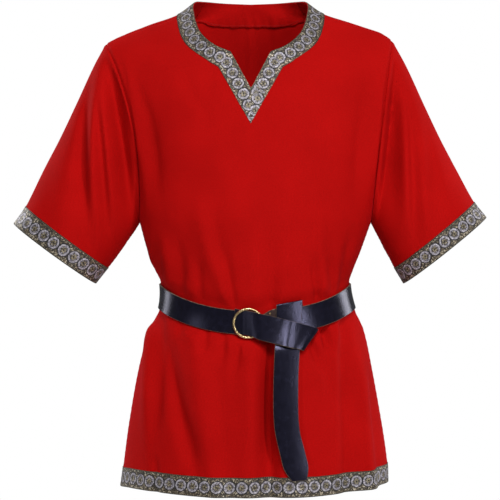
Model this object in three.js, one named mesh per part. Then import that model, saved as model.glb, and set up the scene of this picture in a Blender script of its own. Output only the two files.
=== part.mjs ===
// Belted medieval tunic in its worn shape, hollow, with nobody in it.
// Millimetres, +Z up, the front faces -Y. The origin is midway between the shoulders at the foot of
// the neck, where the wearer carries the garment.
import * as THREE from 'three';
import { mergeVertices } from 'three/addons/utils/BufferGeometryUtils.js';

// ---------------------------------------------------------------- driving dimensions
const CLOTH = 2;              // wall of the panels and sleeves
const RIBBON = 1;             // woven trim, and the turned facing
const SEAM = 0.3;             // gap between pieces sewn together
const LAID = 1.0;             // gap under a curved band laid on a panel
const TRIM_WIDTH = 30;        // hem and cuff ribbon
const HEM = -748;             // height of the hem
const ARMPIT = -328;          // height where the side seams end
const ROUNDNESS = 0.92;       // power on sine and cosine: 1 is an ellipse, less is squarer
const DIP_POWER = 1.7;        // how the belt line's dip grows from side to centre
const NECK_CENTRE = 1;        // the neck opening's middle, in x
const V_TIP = 0.5;            // share of the front opening's edge where the slit starts
const V_CORNER = 2 / 3;       // and where it meets the round neck
const BACK_NECK = 0.75;       // share of the centre back that lies below the neck edge
const ARMHOLE_DEPTH = 54;     // half the armhole's depth, front to back

const BELT_WIDTH = 38;
const BELT_THICK = 2.5;
const BELT_LEVEL = -446;      // middle of the belt at the side seams
const BELT_REST = 0.9;        // gap between the cloth and the strap
const BELT_LIFT = 3;          // how much further out the strap stands at the right of the ring
const RING_X = -3;
const RING_Z = -485.5;
const RING_RADIUS = 22;       // to the middle of the wire
const RING_WIRE = 2;          // radius of the wire
const RING_OUT = 6.1;         // from the cloth to the middle of the wire

const HALF_COLUMNS = 18;      // grid columns from side seam to centre
const SLEEVE_COLUMNS = 28;
const SKIRT_ROWS = [-748, -733, -718, -692, -664, -636, -608, -580, -552, -524, -500, -482, -465, -446,
  -427, -410, -390, -360, -328];
const SLEEVE_ROWS = [0, 0.1, 0.2, 0.32, 0.44, 0.56, 0.68, 0.78, 0.865, 0.93, 1];
const CUFF_ROWS = [0.865, 0.93, 1];

const COLOURS = {
  cloth: { color: 0xb21214, roughness: 0.85, metalness: 0 },
  trim: { color: 0x8c8577, roughness: 0.5, metalness: 0.3 },
  leather: { color: 0x1c1c26, roughness: 0.35, metalness: 0 },
  brass: { color: 0xb08d4f, roughness: 0.3, metalness: 1 },
};

// Sections of the body at the side seams' height: left and right edges, front and back depths, and
// how far the section dips at the centre front (it rises as much at the centre back).
const BODY = [
  { at: -748, left: -206, right: 220, front: 150, back: 138, dip: 0 },
  { at: -718, left: -202, right: 219, front: 148, back: 136, dip: 0 },
  { at: -650, left: -193, right: 210, front: 142, back: 131, dip: 2 },
  { at: -560, left: -177, right: 194, front: 131, back: 122, dip: 10 },
  { at: -500, left: -160, right: 181, front: 119, back: 111, dip: 28 },
  { at: -466, left: -144, right: 166, front: 108, back: 99, dip: 38 },
  { at: -426, left: -142, right: 158, front: 104, back: 96, dip: 40 },
  { at: -405, left: -151, right: 164, front: 110, back: 102, dip: 34 },
  { at: -375, left: -163, right: 176, front: 117, back: 107, dip: 18 },
  { at: -328, left: -176, right: 193, front: 121, back: 110, dip: 0 },
];

// Centre lines of the upper front and back, from the armpit level to the neck.
const CENTRE_FRONT = [
  { at: 0, x: 8.5, y: -121, z: -328 },
  { at: 0.25, x: 5.5, y: -114, z: -226 },
  { at: 0.5, x: 2, y: -97, z: -123 },
];
const CENTRE_BACK = [
  { at: 0, x: 8.5, y: 110, z: -328 },
  { at: 0.25, x: 6, y: 108, z: -205 },
  { at: 0.5, x: 3, y: 95, z: -85 },
  { at: 0.75, x: 1, y: 60, z: 28 },
];

// The neck's edge (half, y, z) and the outer edge of the ribbon laid along it, on one side.
const ROUND_FRONT = [
  { at: 0, half: 31, y: -82, z: -65, outHalf: 50, outY: -86, outZ: -89 },
  { at: 0.2, half: 55, y: -72, z: -54, outHalf: 68, outY: -78, outZ: -78 },
  { at: 0.42, half: 76, y: -55, z: -35, outHalf: 95, outY: -62, outZ: -57 },
  { at: 0.65, half: 86, y: -35, z: -14, outHalf: 109, outY: -46, outZ: -37 },
  { at: 0.86, half: 90.5, y: -14, z: 7, outHalf: 116, outY: -22, outZ: -15 },
  { at: 1, half: 92, y: 0, z: 19, outHalf: 118, outY: 0, outZ: 0 },
];
const SLIT = [
  { at: 0, half: 0, y: -97, z: -123, outHalf: 0, outY: -107, outZ: -178 },
  { at: 1, half: 31, y: -82, z: -65, outHalf: 50, outY: -86, outZ: -89 },
];
const ROUND_BACK = [
  { at: 0, half: 0, y: 60, z: 28, outHalf: 0, outY: 72, outZ: 0 },
  { at: 0.36, half: 45, y: 54, z: 29, outHalf: 54, outY: 68, outZ: 2 },
  { at: 0.66, half: 75, y: 38, z: 29, outHalf: 92, outY: 52, outZ: 5 },
  { at: 0.86, half: 88, y: 18, z: 26, outHalf: 112, outY: 26, outZ: 5 },
  { at: 1, half: 92, y: 0, z: 19, outHalf: 118, outY: 0, outZ: 0 },
];

// Shoulder seams from the armhole to the neck.
const SHOULDER = {
  left: [
    { at: 0, x: -230, z: -43 },
    { at: 0.1, x: -216, z: -35 },
    { at: 0.2, x: -203, z: -30 },
    { at: 0.48, x: -165, z: -16 },
    { at: 0.82, x: -118, z: 0 },
    { at: 1, x: -91, z: 19 },
  ],
  right: [
    { at: 0, x: 227, z: -38 },
    { at: 0.1, x: 213, z: -28 },
    { at: 0.2, x: 200, z: -23 },
    { at: 0.48, x: 163, z: -12 },
    { at: 0.82, x: 118, z: 2 },
    { at: 1, x: 93, z: 19 },
  ],
};

// Sleeve sections: half spans of the top and of the two underarm points, heights, and half depth.
const SLEEVE = [
  { at: 0.1, top: 249, topZ: -78, lowLeft: 183, lowRight: 199, lowZ: -340, depth: 62 },
  { at: 0.3, top: 277, topZ: -139, lowLeft: 195, lowRight: 208, lowZ: -357, depth: 69 },
  { at: 0.5, top: 303, topZ: -194, lowLeft: 206, lowRight: 216, lowZ: -373, depth: 69 },
  { at: 0.7, top: 330, topZ: -246, lowLeft: 216, lowRight: 224, lowZ: -387, depth: 66 },
  { at: 0.865, top: 358, topZ: -303, lowLeft: 227, lowRight: 231, lowZ: -401, depth: 62 },
  { at: 1, top: 377, topZ: -331, lowLeft: 247, lowRight: 246, lowZ: -426, depth: 60 },
];

// The largest folds: soft ridges (out above 0) and troughs along a line from (x, z) to (toX, toZ).
const FOLDS = {
  front: [
    { x: -157, z: -505, toX: -162, toZ: -748, out: 6, width: 13 },
    { x: -128, z: -560, toX: -82, toZ: -748, out: -9, width: 15 },
    { x: 20, z: -525, toX: 20, toZ: -748, out: -13, width: 14 },
    { x: 128, z: -500, toX: 128, toZ: -590, out: -6, width: 12 },
    { x: 160, z: -540, toX: 170, toZ: -748, out: 5, width: 15 },
    { x: -196, z: -110, toX: -150, toZ: -320, out: -8, width: 13 },
    { x: 192, z: -100, toX: 168, toZ: -320, out: -8, width: 13 },
    { x: -27, z: -445, toX: -30, toZ: -385, out: -4, width: 11 },
    { x: 104, z: -432, toX: 100, toZ: -375, out: -4, width: 11 },
  ],
  back: [
    { x: 0, z: -60, toX: 5, toZ: -330, out: -4, width: 14 },
    { x: -120, z: -470, toX: -135, toZ: -748, out: -9, width: 16 },
    { x: 30, z: -480, toX: 40, toZ: -748, out: -9, width: 17 },
    { x: 140, z: -500, toX: 160, toZ: -748, out: -7, width: 14 },
    { x: -190, z: -110, toX: -160, toZ: -320, out: -8, width: 13 },
    { x: 188, z: -100, toX: 170, toZ: -320, out: -8, width: 13 },
  ],
  sleeveLeft: [
    { x: -262, z: -105, toX: -268, toZ: -330, out: -7, width: 12 },
    { x: -222, z: -110, toX: -222, toZ: -340, out: 5, width: 14 },
  ],
  sleeveRight: [
    { x: 262, z: -120, toX: 270, toZ: -330, out: -6, width: 13 },
    { x: 224, z: -120, toX: 228, toZ: -350, out: 5, width: 13 },
  ],
};

// The belt's stretch through the ring: its two edges and its distance out from the cloth. It folds
// back at its right and climbs behind the strap.
const PASS = [
  { x: -19, z: -464.5, lowX: -19, lowZ: -502.5, out: 2.15 },
  { x: -12, z: -468.2, lowX: -12, lowZ: -502.4, out: 2.3 },
  { x: -3, z: -468.7, lowX: -3, lowZ: -503.3, out: 6.1 },
  { x: 7, z: -469.5, lowX: 5, lowZ: -505.5, out: 10.2 },
  { x: 17, z: -471.5, lowX: 12, lowZ: -509, out: 13.1 },
  { x: 26, z: -473, lowX: 19, lowZ: -511, out: 13.9 },
  { x: 36, z: -475.5, lowX: 29, lowZ: -513.5, out: 13 },
  { x: 50, z: -479, lowX: 42, lowZ: -517, out: 12 },
  { x: 76, z: -486, lowX: 62, lowZ: -522, out: 11.5 },
  { x: 101, z: -493, lowX: 78, lowZ: -525, out: 11.3 },
  { x: 104, z: -495, lowX: 81, lowZ: -526, out: 9.5 },
  { x: 105, z: -495.5, lowX: 82, lowZ: -526, out: 6.6 },
  { x: 104, z: -495, lowX: 81, lowZ: -524.5, out: 3.7 },
  { x: 101, z: -491.5, lowX: 77, lowZ: -521, out: 2.1 },
  { x: 90, z: -472, lowX: 60, lowZ: -492, out: 2.05 },
  { x: 80.5, z: -457, lowX: 42, lowZ: -464, out: 2.05 },
];

// The hanging end: over the strap's top edge, behind the pass and down the skirt.
const TAIL = [
  { x: 80.5, z: -454, lowX: 41.5, lowZ: -461, out: 3 },
  { x: 80.2, z: -451, lowX: 41.3, lowZ: -458, out: 5.2 },
  { x: 80, z: -453.5, lowX: 41, lowZ: -460, out: 8 },
  { x: 79, z: -470, lowX: 40.5, lowZ: -474, out: 8.4 },
  { x: 77, z: -503, lowX: 39.5, lowZ: -503, out: 8.4 },
  { x: 75.5, z: -528, lowX: 38, lowZ: -528, out: 6.8 },
  { x: 74, z: -550, lowX: 37, lowZ: -550, out: 4 },
  { x: 73, z: -580, lowX: 36, lowZ: -580, out: 2.6 },
  { x: 73, z: -620, lowX: 36, lowZ: -620, out: 2.6 },
  { x: 75.5, z: -650, lowX: 38.5, lowZ: -650, out: 2.8 },
  { x: 83, z: -680, lowX: 46, lowZ: -683, out: 3.2 },
  { x: 88, z: -703, lowX: 52, lowZ: -705, out: 3.6 },
  { x: 85.5, z: -721, lowX: 64, lowZ: -723, out: 3.6 },
];

// The strap's own end, turned round the ring from back to front: half widths at the ring and at the
// strap, where its two legs end, and the turn's reach past the wire sideways and outwards.
const END_FOLD = { half: 12, wide: 18.5, backX: 58, frontX: 39, apex: 4.8, rise: 4.1 };

// ---------------------------------------------------------------- small tools
const point = (x, y, z) => new THREE.Vector3(x, y, z);
const clamp = THREE.MathUtils.clamp;
const smooth = (x, low, high) => THREE.MathUtils.smoothstep(x, low, high);
const steps = (count, from = 0, to = 1) =>
  Array.from({ length: count + 1 }, (_, i) => from + ((to - from) * i) / count);

// Reads a table at any place between its rows, each column on a smooth curve.
function read(table, at) {
  let i = 0;
  while (i < table.length - 2 && at > table[i + 1].at) i += 1;
  const a = table[i];
  const b = table[i + 1];
  const before = table[Math.max(i - 1, 0)];
  const after = table[Math.min(i + 2, table.length - 1)];
  const span = b.at - a.at;
  const t = clamp((at - a.at) / span, 0, 1);
  const row = {};
  for (const key of Object.keys(a)) {
    const slopeA = ((b[key] - before[key]) / (b.at - before.at)) * span;
    const slopeB = ((after[key] - a[key]) / (after.at - a.at)) * span;
    row[key] = a[key] * (2 * t ** 3 - 3 * t ** 2 + 1) + slopeA * (t ** 3 - 2 * t ** 2 + t)
      + b[key] * (3 * t ** 2 - 2 * t ** 3) + slopeB * (t ** 3 - t ** 2);
  }
  return row;
}

// How far the folds of a table push the cloth out at (x, z).
function foldAt(folds, x, z) {
  let out = 0;
  for (const fold of folds) {
    const alongX = fold.toX - fold.x;
    const alongZ = fold.toZ - fold.z;
    const length = Math.hypot(alongX, alongZ);
    const t = ((x - fold.x) * alongX + (z - fold.z) * alongZ) / length ** 2;
    const off = ((x - fold.x) * alongZ - (z - fold.z) * alongX) / length;
    const ends = smooth(t, -0.05, 0.3) * (fold.toZ <= HEM ? 1 : 1 - smooth(t, 0.7, 1.05));
    out += fold.out * ends * Math.exp(-((off / fold.width) ** 2));
  }
  return out;
}

// ---------------------------------------------------------------- surfaces of the garment
// side is -1 for the left and 1 for the right; face is -1 for the front and 1 for the back.
// u runs from the side seam or armhole (0) to the centre or neck (1).

function bodyPoint(side, face, u, level) {
  const section = read(BODY, level);
  const middle = (section.left + section.right) / 2;
  const halfWidth = (section.right - section.left) / 2;
  const angle = (u * Math.PI) / 2;
  const depth = face < 0 ? section.front : section.back;
  const x = middle + side * halfWidth * Math.max(Math.cos(angle), 0) ** ROUNDNESS;
  const y = face * depth * Math.sin(angle) ** ROUNDNESS;
  return point(x, y, level + face * section.dip * Math.sin(angle) ** DIP_POWER);
}

// The armhole is an ellipse in a plane that holds the Y axis' direction: turn 0 is the armpit and
// 1 the shoulder point.
function armhole(side) {
  const seam = side < 0 ? SHOULDER.left[0] : SHOULDER.right[0];
  const top = point(seam.x, 0, seam.z);
  const low = bodyPoint(side, -1, 0, ARMPIT);
  return { top, low, middle: top.clone().add(low).multiplyScalar(0.5), axis: top.clone().sub(low) };
}

function armholePoint(side, face, turn) {
  const { middle, axis } = armhole(side);
  const angle = turn * Math.PI;
  const p = middle.clone().addScaledVector(axis, -Math.cos(angle) / 2);
  p.y = face * ARMHOLE_DEPTH * Math.sin(angle);
  return p;
}

function shoulderPoint(side, u) {
  const row = read(side < 0 ? SHOULDER.left : SHOULDER.right, u);
  return point(row.x, 0, row.z);
}

const neckPoint = (side, row) => point(NECK_CENTRE + side * row.half, row.y, row.z);
const trimPoint = (side, row) => point(NECK_CENTRE + side * row.outHalf, row.outY, row.outZ);

// The panel's inner edge above the armpit: the centre line, then the slit, then the round neck.
function openingPoint(side, face, v) {
  if (face > 0) {
    if (v > BACK_NECK) return neckPoint(side, read(ROUND_BACK, (v - BACK_NECK) / (1 - BACK_NECK)));
    const row = read(CENTRE_BACK, v);
    return point(row.x, row.y, row.z);
  }
  if (v > V_CORNER) return neckPoint(side, read(ROUND_FRONT, (v - V_CORNER) / (1 - V_CORNER)));
  const line = read(CENTRE_FRONT, Math.min(v, V_TIP));
  const tip = point(line.x, line.y, line.z);
  if (v <= V_TIP) return tip;
  return tip.lerp(neckPoint(side, SLIT[1]), (v - V_TIP) / (V_CORNER - V_TIP));
}

// The panel above the armpit, blended from its four edges.
function yokePoint(side, face, u, v) {
  const left = (1 - u) ** 2;
  const low = 1 - 3 * v ** 2 + 2 * v ** 3;
  const corner = (a, b) => a.clone().multiplyScalar(left).addScaledVector(b, 1 - left);
  const p = bodyPoint(side, face, u, ARMPIT).multiplyScalar(low);
  p.addScaledVector(shoulderPoint(side, u), 1 - low);
  p.addScaledVector(armholePoint(side, face, v), left);
  p.addScaledVector(openingPoint(side, face, v), 1 - left);
  p.addScaledVector(corner(bodyPoint(side, face, 0, ARMPIT), bodyPoint(side, face, 1, ARMPIT)), -low);
  p.addScaledVector(corner(shoulderPoint(side, 0), shoulderPoint(side, 1)), low - 1);
  return p;
}

// A panel's outer face with its folds. Rows up to 1 are below the armpit, and from 1 to 2 above it.
function panelPoint(side, face, u, v) {
  const low = v <= 1;
  const p = low ? bodyPoint(side, face, u, HEM + (ARMPIT - HEM) * v) : yokePoint(side, face, u, v - 1);
  const angle = (u * Math.PI) / 2;
  const edge = smooth(u, 0, 0.16) * (low ? 1 : 1 - smooth(v, 1.55, 1.85));
  const out = foldAt(face < 0 ? FOLDS.front : FOLDS.back, p.x, p.z) * edge;
  return p.add(point(side * Math.cos(angle), face * Math.sin(angle), 0).multiplyScalar(out));
}

// A sleeve's outer face: u goes round from the underarm by the front and over the top.
function sleevePoint(side, u, v) {
  const { top, low } = armhole(side);
  const span = Math.abs(low.x);
  const first = { at: 0, top: Math.abs(top.x), topZ: top.z, lowLeft: span, lowRight: span, lowZ: low.z,
    depth: ARMHOLE_DEPTH };
  const row = read([first, ...SLEEVE], v);
  const upper = point(side * row.top, 0, row.topZ);
  const under = point(side * (side < 0 ? row.lowLeft : row.lowRight), 0, row.lowZ);
  const angle = u * 2 * Math.PI;
  const axis = upper.clone().sub(under);
  const p = upper.clone().add(under).multiplyScalar(0.5).addScaledVector(axis, -Math.cos(angle) / 2);
  p.y = -row.depth * Math.sin(angle);
  const edge = smooth(v, 0, 0.2) * (1 - 0.6 * smooth(v, 0.7, 1));
  const out = foldAt(side < 0 ? FOLDS.sleeveLeft : FOLDS.sleeveRight, p.x, p.z) * edge;
  p.y -= Math.sin(angle) * out;
  return p;
}

// ---------------------------------------------------------------- walls
// Sheets are grids of points, rows of columns, whose faces point out where flip is false. Each sheet
// gets its own vertices; those that coincide are joined, so that sheets sharing an edge make one wall.
function wall(sheets, inner, outer, settle = (n) => n) {
  const positions = [];
  const corner = (sheet, i, j) => sheet.grid[i][j].toArray();
  for (const sheet of sheets) {
    for (let i = 0; i < sheet.grid.length - 1; i += 1) {
      for (let j = 0; j < sheet.grid[0].length - 1; j += 1) {
        const [a, b] = [corner(sheet, i, j), corner(sheet, i, j + 1)];
        const [c, d] = [corner(sheet, i + 1, j + 1), corner(sheet, i + 1, j)];
        positions.push(...(sheet.flip ? [a, c, b, a, d, c] : [a, b, c, a, c, d]).flat());
      }
    }
  }
  const soup = new THREE.BufferGeometry();
  soup.setAttribute('position', new THREE.Float32BufferAttribute(positions, 3));
  const face = mergeVertices(soup, 1e-3);
  face.computeVertexNormals();
  const place = face.getAttribute('position');
  const normal = face.getAttribute('normal');
  const count = place.count;
  const skins = [];
  for (const offset of [outer, inner]) {
    for (let i = 0; i < count; i += 1) {
      const p = point(place.getX(i), place.getY(i), place.getZ(i));
      const n = settle(point(normal.getX(i), normal.getY(i), normal.getZ(i)), p).normalize();
      skins.push(...p.addScaledVector(n, offset).toArray());
    }
  }
  const index = [];
  const edges = new Map();
  const outerFaces = face.getIndex().array;
  for (let i = 0; i < outerFaces.length; i += 3) {
    const [a, b, c] = outerFaces.slice(i, i + 3);
    if (a === b || b === c || a === c) continue;
    index.push(a, b, c, c + count, b + count, a + count);
    for (const [from, to] of [[a, b], [b, c], [c, a]]) {
      if (!edges.delete(`${to},${from}`)) edges.set(`${from},${to}`, [from, to]);
    }
  }
  for (const [from, to] of edges.values()) {
    index.push(to, from, from + count, to, from + count, to + count);
  }
  const geometry = new THREE.BufferGeometry();
  geometry.setAttribute('position', new THREE.Float32BufferAttribute(skins, 3));
  geometry.setIndex(index);
  return geometry;
}

const garment = new THREE.Group();

function addPiece(name, geometry, finish) {
  geometry.computeVertexNormals();
  const mesh = new THREE.Mesh(geometry, new THREE.MeshStandardMaterial(COLOURS[finish]));
  mesh.name = name;
  garment.add(mesh);
}

// Normals at seams lie in the seam's own plane, so that the two cut edges stay parallel.
function atSideSeam(n, p) {
  if (Math.abs(p.y) < SEAM) n.y = 0;
  return n;
}

function atArmhole(side, face) {
  const { middle, axis } = armhole(side);
  const half = axis.length() / 2;
  const along = axis.clone().normalize();
  const across = point(along.z, 0, -along.x).multiplyScalar(side);
  return (n, p) => {
    const local = p.clone().sub(middle);
    const height = local.dot(along);
    const onRing = Math.abs(local.dot(across)) < SEAM
      && Math.abs((height / half) ** 2 + (p.y / ARMHOLE_DEPTH) ** 2 - 1) < 0.06;
    if (!onRing) return n;
    const ring = along.clone().multiplyScalar(height / half ** 2);
    const atEnd = face !== 0 && Math.abs(p.y) < SEAM;
    return ring.add(point(0, atEnd ? 0 : p.y / ARMHOLE_DEPTH ** 2, 0));
  };
}

// ---------------------------------------------------------------- pieces
// Grid rows from hem to shoulder. Above the armpit they are closest along the neck's edge.
const skirtRows = SKIRT_ROWS.map((level) => (level - HEM) / (ARMPIT - HEM));
const frontYoke = [...steps(5, 0, V_TIP).slice(1), (V_TIP + V_CORNER) / 2, ...steps(5, V_CORNER, 1)];
const backYoke = [...steps(6, 0, BACK_NECK).slice(1), ...steps(6, BACK_NECK, 1).slice(1)];
const LEVELS = {
  front: [...skirtRows, ...frontYoke.map((v) => 1 + v)],
  back: [...skirtRows, ...backYoke.map((v) => 1 + v)],
};

// One half of a panel's grid, its outer columns drawn in by half a seam gap.
function panelHalf(side, face, levels) {
  const { axis } = armhole(side);
  const across = point(-axis.z, 0, axis.x).normalize().multiplyScalar(side);
  const grid = levels.map((v) => steps(HALF_COLUMNS).map((u) => {
    const p = panelPoint(side, face, u, v);
    if (u === 0 && v > 1) p.addScaledVector(across, SEAM / 2);
    if ((u === 0 && v <= 1) || v === 2) p.y = (face * SEAM) / 2;
    return p;
  }));
  return { grid, flip: side * face < 0 };
}

function addPanel(name, face) {
  const halves = [-1, 1].map((side) => panelHalf(side, face, face < 0 ? LEVELS.front : LEVELS.back));
  const settle = (n, p) => atArmhole(Math.sign(p.x), face)(atSideSeam(n, p), p);
  addPiece(name, wall(halves, -CLOTH, 0, settle), 'cloth');
}

function addHemTrim(name, face) {
  const levels = skirtRows.filter((v) => v <= (TRIM_WIDTH + 0.01) / (ARMPIT - HEM));
  const halves = [-1, 1].map((side) => panelHalf(side, face, levels));
  addPiece(name, wall(halves, SEAM, SEAM + RIBBON, atSideSeam), 'trim');
}

function sleeveGrid(side, rows) {
  const { axis } = armhole(side);
  const across = point(-axis.z, 0, axis.x).normalize().multiplyScalar(-side);
  return rows.map((v) => steps(SLEEVE_COLUMNS).map((u) => {
    const p = sleevePoint(side, u % 1, v);
    return v === 0 ? p.addScaledVector(across, SEAM / 2) : p;
  }));
}

function addSleeve(word, side) {
  const flip = side > 0;
  addPiece(`sleeve_${word}`, wall([{ grid: sleeveGrid(side, SLEEVE_ROWS), flip }], -CLOTH, 0,
    atArmhole(side, 0)), 'cloth');
  addPiece(`cuff_trim_${word}`, wall([{ grid: sleeveGrid(side, CUFF_ROWS), flip }], SEAM, SEAM + RIBBON),
    'trim');
}

// Finds the place on half a yoke nearest to a rough point, and returns the surface there.
function settleOn(side, face, rough) {
  let best = { u: 0, v: 0, gap: Infinity };
  const gapAt = (u, v) => panelPoint(side, face, u, 1 + v).distanceTo(rough);
  for (const u of steps(10)) {
    for (const v of steps(10)) {
      const gap = gapAt(u, v);
      if (gap < best.gap) best = { u, v, gap };
    }
  }
  for (let reach = 0.05; reach > 1e-4; reach /= 2) {
    for (let pass = 0; pass < 4; pass += 1) {
      for (const [du, dv] of [[1, 0], [-1, 0], [0, 1], [0, -1]]) {
        const u = clamp(best.u + du * reach, 0, 1);
        const v = clamp(best.v + dv * reach, 0, 1);
        const gap = gapAt(u, v);
        if (gap < best.gap) best = { u, v, gap };
      }
    }
  }
  return panelPoint(side, face, best.u, 1 + best.v);
}

// A band laid along the neck: its inner edge is the neck's, its outer edge is settled on the panel.
function bandGrid(side, face, table, rows, columns, spread = 1) {
  return rows.map((at) => {
    const row = read(table, at);
    const inner = neckPoint(side, row);
    const outer = inner.clone().lerp(trimPoint(side, row), spread);
    return steps(columns).map((w) => {
      const half = at === 0 && face > 0 ? -1 : side;   // both sides share the centre back's points
      const p = settleOn(half, face, inner.clone().lerp(outer, w));
      if (at === 1 && table !== SLIT) p.y = (face * SEAM) / 2;
      if (at === 0 && table === SLIT) p.x += (side * SEAM) / 2;
      return p;
    });
  });
}

function addNeckTrim() {
  const inset = 0.002;
  for (const [word, side] of [['left', -1], ['right', 1]]) {
    const round = bandGrid(side, -1, ROUND_FRONT, steps(9, inset, 1), 3);
    const slit = bandGrid(side, -1, SLIT, steps(4, 0, 1 - inset), 3);
    const flip = side < 0;
    addPiece(`neck_trim_${word}`, wall([{ grid: round, flip }], LAID, LAID + RIBBON, atSideSeam), 'trim');
    addPiece(`slit_trim_${word}`, wall([{ grid: slit, flip }], LAID, LAID + RIBBON), 'trim');
  }
  const back = [-1, 1].map((side) => ({
    grid: bandGrid(side, 1, ROUND_BACK, steps(10), 3),
    flip: side > 0,
  }));
  addPiece('neck_trim_back', wall(back, LAID, LAID + RIBBON, atSideSeam), 'trim');
  const facing = [-1, 1].map((side) => ({
    grid: bandGrid(side, 1, ROUND_BACK, steps(6, 0, 0.6), 3, 1.2),
    flip: side > 0,
  }));
  addPiece('back_neck_facing', wall(facing, -CLOTH - LAID - RIBBON, -CLOTH - LAID), 'cloth');
}

// ---------------------------------------------------------------- belt
// A point in front of the belly that ends up at (x, z), this far out from the plain cloth.
function beltPoint(x, z, out) {
  let p = point(0, 0, 0);
  let outward = point(0, -1, 0);
  let level = z;
  for (let pass = 0; pass < 8; pass += 1) {
    const section = read(BODY, level);
    const middle = (section.left + section.right) / 2;
    const halfWidth = (section.right - section.left) / 2;
    const side = Math.sign(x - middle);
    const share = Math.abs(x - out * outward.x - middle) / halfWidth;
    const angle = Math.acos(clamp(share ** (1 / ROUNDNESS), 0, 1));
    p = bodyPoint(side, -1, (2 / Math.PI) * angle, level);
    outward = point((side * Math.cos(angle)) / halfWidth, -Math.sin(angle) / section.front, 0).normalize();
    level += z - p.z;
  }
  return point(x, p.y + outward.y * out, z);
}

function strip(table, along, across) {
  const numbered = table.map((row, i) => ({ at: i, ...row }));
  return steps(along, 0, table.length - 1).map((at) => {
    const row = read(numbered, at);
    return steps(across).map((w) =>
      beltPoint(row.x + (row.lowX - row.x) * w, row.z + (row.lowZ - row.z) * w, row.out));
  });
}

// The strap round the waist, from the ring's left, round the back, to the fold at the ring's right.
// Near the knot it stands off the cloth, with the pass's end behind it.
function addStrap() {
  const rows = [BELT_LEVEL - BELT_WIDTH / 2, BELT_LEVEL, BELT_LEVEL + BELT_WIDTH / 2];
  const quarter = (side, face, us) => us.map((u) => ({ side, face, u }));
  const path = [...quarter(-1, -1, steps(10, 0.882, 0)), ...quarter(-1, 1, steps(10).slice(1)),
    ...quarter(1, 1, steps(10, 1, 0).slice(1)), ...quarter(1, -1, steps(12, 0, 0.8).slice(1))];
  const grid = path.map(({ side, face, u }) => rows.map((level) => {
    const out = BELT_REST + (side > 0 && face < 0 ? BELT_LIFT * smooth(u, 0.25, 0.6) : 0);
    const angle = (u * Math.PI) / 2;
    const outward = point(side * Math.cos(angle), face * Math.sin(angle), 0);
    return bodyPoint(side, face, u, level).addScaledVector(outward, out);
  }));
  addPiece('belt_strap', wall([{ grid, flip: false }], 0, BELT_THICK), 'leather');
}

function addRing() {
  const ring = new THREE.TorusGeometry(RING_RADIUS, RING_WIRE, 10, 40);
  const middle = beltPoint(RING_X, RING_Z, RING_OUT);
  const lean = beltPoint(RING_X, RING_Z + RING_RADIUS, 0).sub(beltPoint(RING_X, RING_Z - RING_RADIUS, 0));
  ring.rotateX(Math.PI / 2 - Math.atan2(lean.y, lean.z));
  ring.translate(middle.x, middle.y, middle.z);
  ring.deleteAttribute('normal');
  ring.deleteAttribute('uv');
  addPiece('belt_ring', mergeVertices(ring, 1e-3), 'brass');
}

function addEndFold() {
  const { half, wide, backX, frontX, apex, rise } = END_FOLD;
  const strapOut = BELT_REST + BELT_LIFT + BELT_THICK / 2;
  const flapOut = strapOut + BELT_THICK + SEAM;
  const turnStart = 0.35;
  const turnEnd = 0.75;
  const grid = steps(20).map((t) => steps(4, -1, 1).map((side) => {
    const ringHalf = side * half;
    const edge = RING_X + Math.sqrt(RING_RADIUS ** 2 - ringHalf ** 2);
    if (t < turnStart) {
      const s = t / turnStart;
      const height = side * (wide + (half - wide) * smooth(s, 0.2, 1));
      const out = strapOut + (RING_OUT - rise - strapOut) * smooth(s, 0.45, 1);
      return beltPoint(backX + (edge - backX) * s, RING_Z + height + (1 - s) * 3.5, out);
    }
    const turn = clamp((t - turnStart) / (turnEnd - turnStart), 0, 1) * Math.PI;
    const s = clamp((t - turnEnd) / (1 - turnEnd), 0, 1);
    const bendX = edge - apex * Math.sin(turn);
    const out = RING_OUT - rise * Math.cos(turn);
    return beltPoint(bendX + (frontX - bendX) * s, RING_Z + ringHalf,
      out + (flapOut - out) * smooth(s, 0, 0.9));
  }));
  addPiece('belt_end_fold', wall([{ grid, flip: false }], -BELT_THICK / 2, BELT_THICK / 2), 'leather');
}

// ---------------------------------------------------------------- the garment
addPanel('front_panel', -1);
addPanel('back_panel', 1);
for (const [word, side] of [['left', -1], ['right', 1]]) addSleeve(word, side);
addHemTrim('hem_trim_front', -1);
addHemTrim('hem_trim_back', 1);
addNeckTrim();
addStrap();
addRing();
addEndFold();
const half = BELT_THICK / 2;
addPiece('belt_pass', wall([{ grid: strip(PASS, 39, 3), flip: false }], -half, half), 'leather');
addPiece('belt_tail', wall([{ grid: strip(TAIL, 24, 2), flip: false }], -half, half), 'leather');

export default garment;
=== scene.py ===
import math
from functools import partial

import bpy
import numpy as np
from mathutils import Matrix, Vector
from mathutils.bvhtree import BVHTree


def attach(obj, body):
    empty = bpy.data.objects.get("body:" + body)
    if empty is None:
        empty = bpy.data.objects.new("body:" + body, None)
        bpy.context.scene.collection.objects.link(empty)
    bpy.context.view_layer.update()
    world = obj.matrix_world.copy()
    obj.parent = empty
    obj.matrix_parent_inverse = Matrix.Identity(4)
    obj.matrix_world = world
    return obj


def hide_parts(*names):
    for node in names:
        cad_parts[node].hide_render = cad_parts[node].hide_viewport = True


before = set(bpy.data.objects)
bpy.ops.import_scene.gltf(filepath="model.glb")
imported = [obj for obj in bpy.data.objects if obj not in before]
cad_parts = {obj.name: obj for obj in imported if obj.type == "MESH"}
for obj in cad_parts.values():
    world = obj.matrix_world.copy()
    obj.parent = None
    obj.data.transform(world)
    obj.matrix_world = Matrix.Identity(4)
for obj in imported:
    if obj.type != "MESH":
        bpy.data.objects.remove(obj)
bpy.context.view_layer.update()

# ------------------------------------------------------------------ camera
camera = bpy.data.objects.new("camera", bpy.data.cameras.new("camera"))
camera.location = (0, -2.7, -0.373)
camera.rotation_euler = (math.radians(90), 0, 0)
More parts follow.
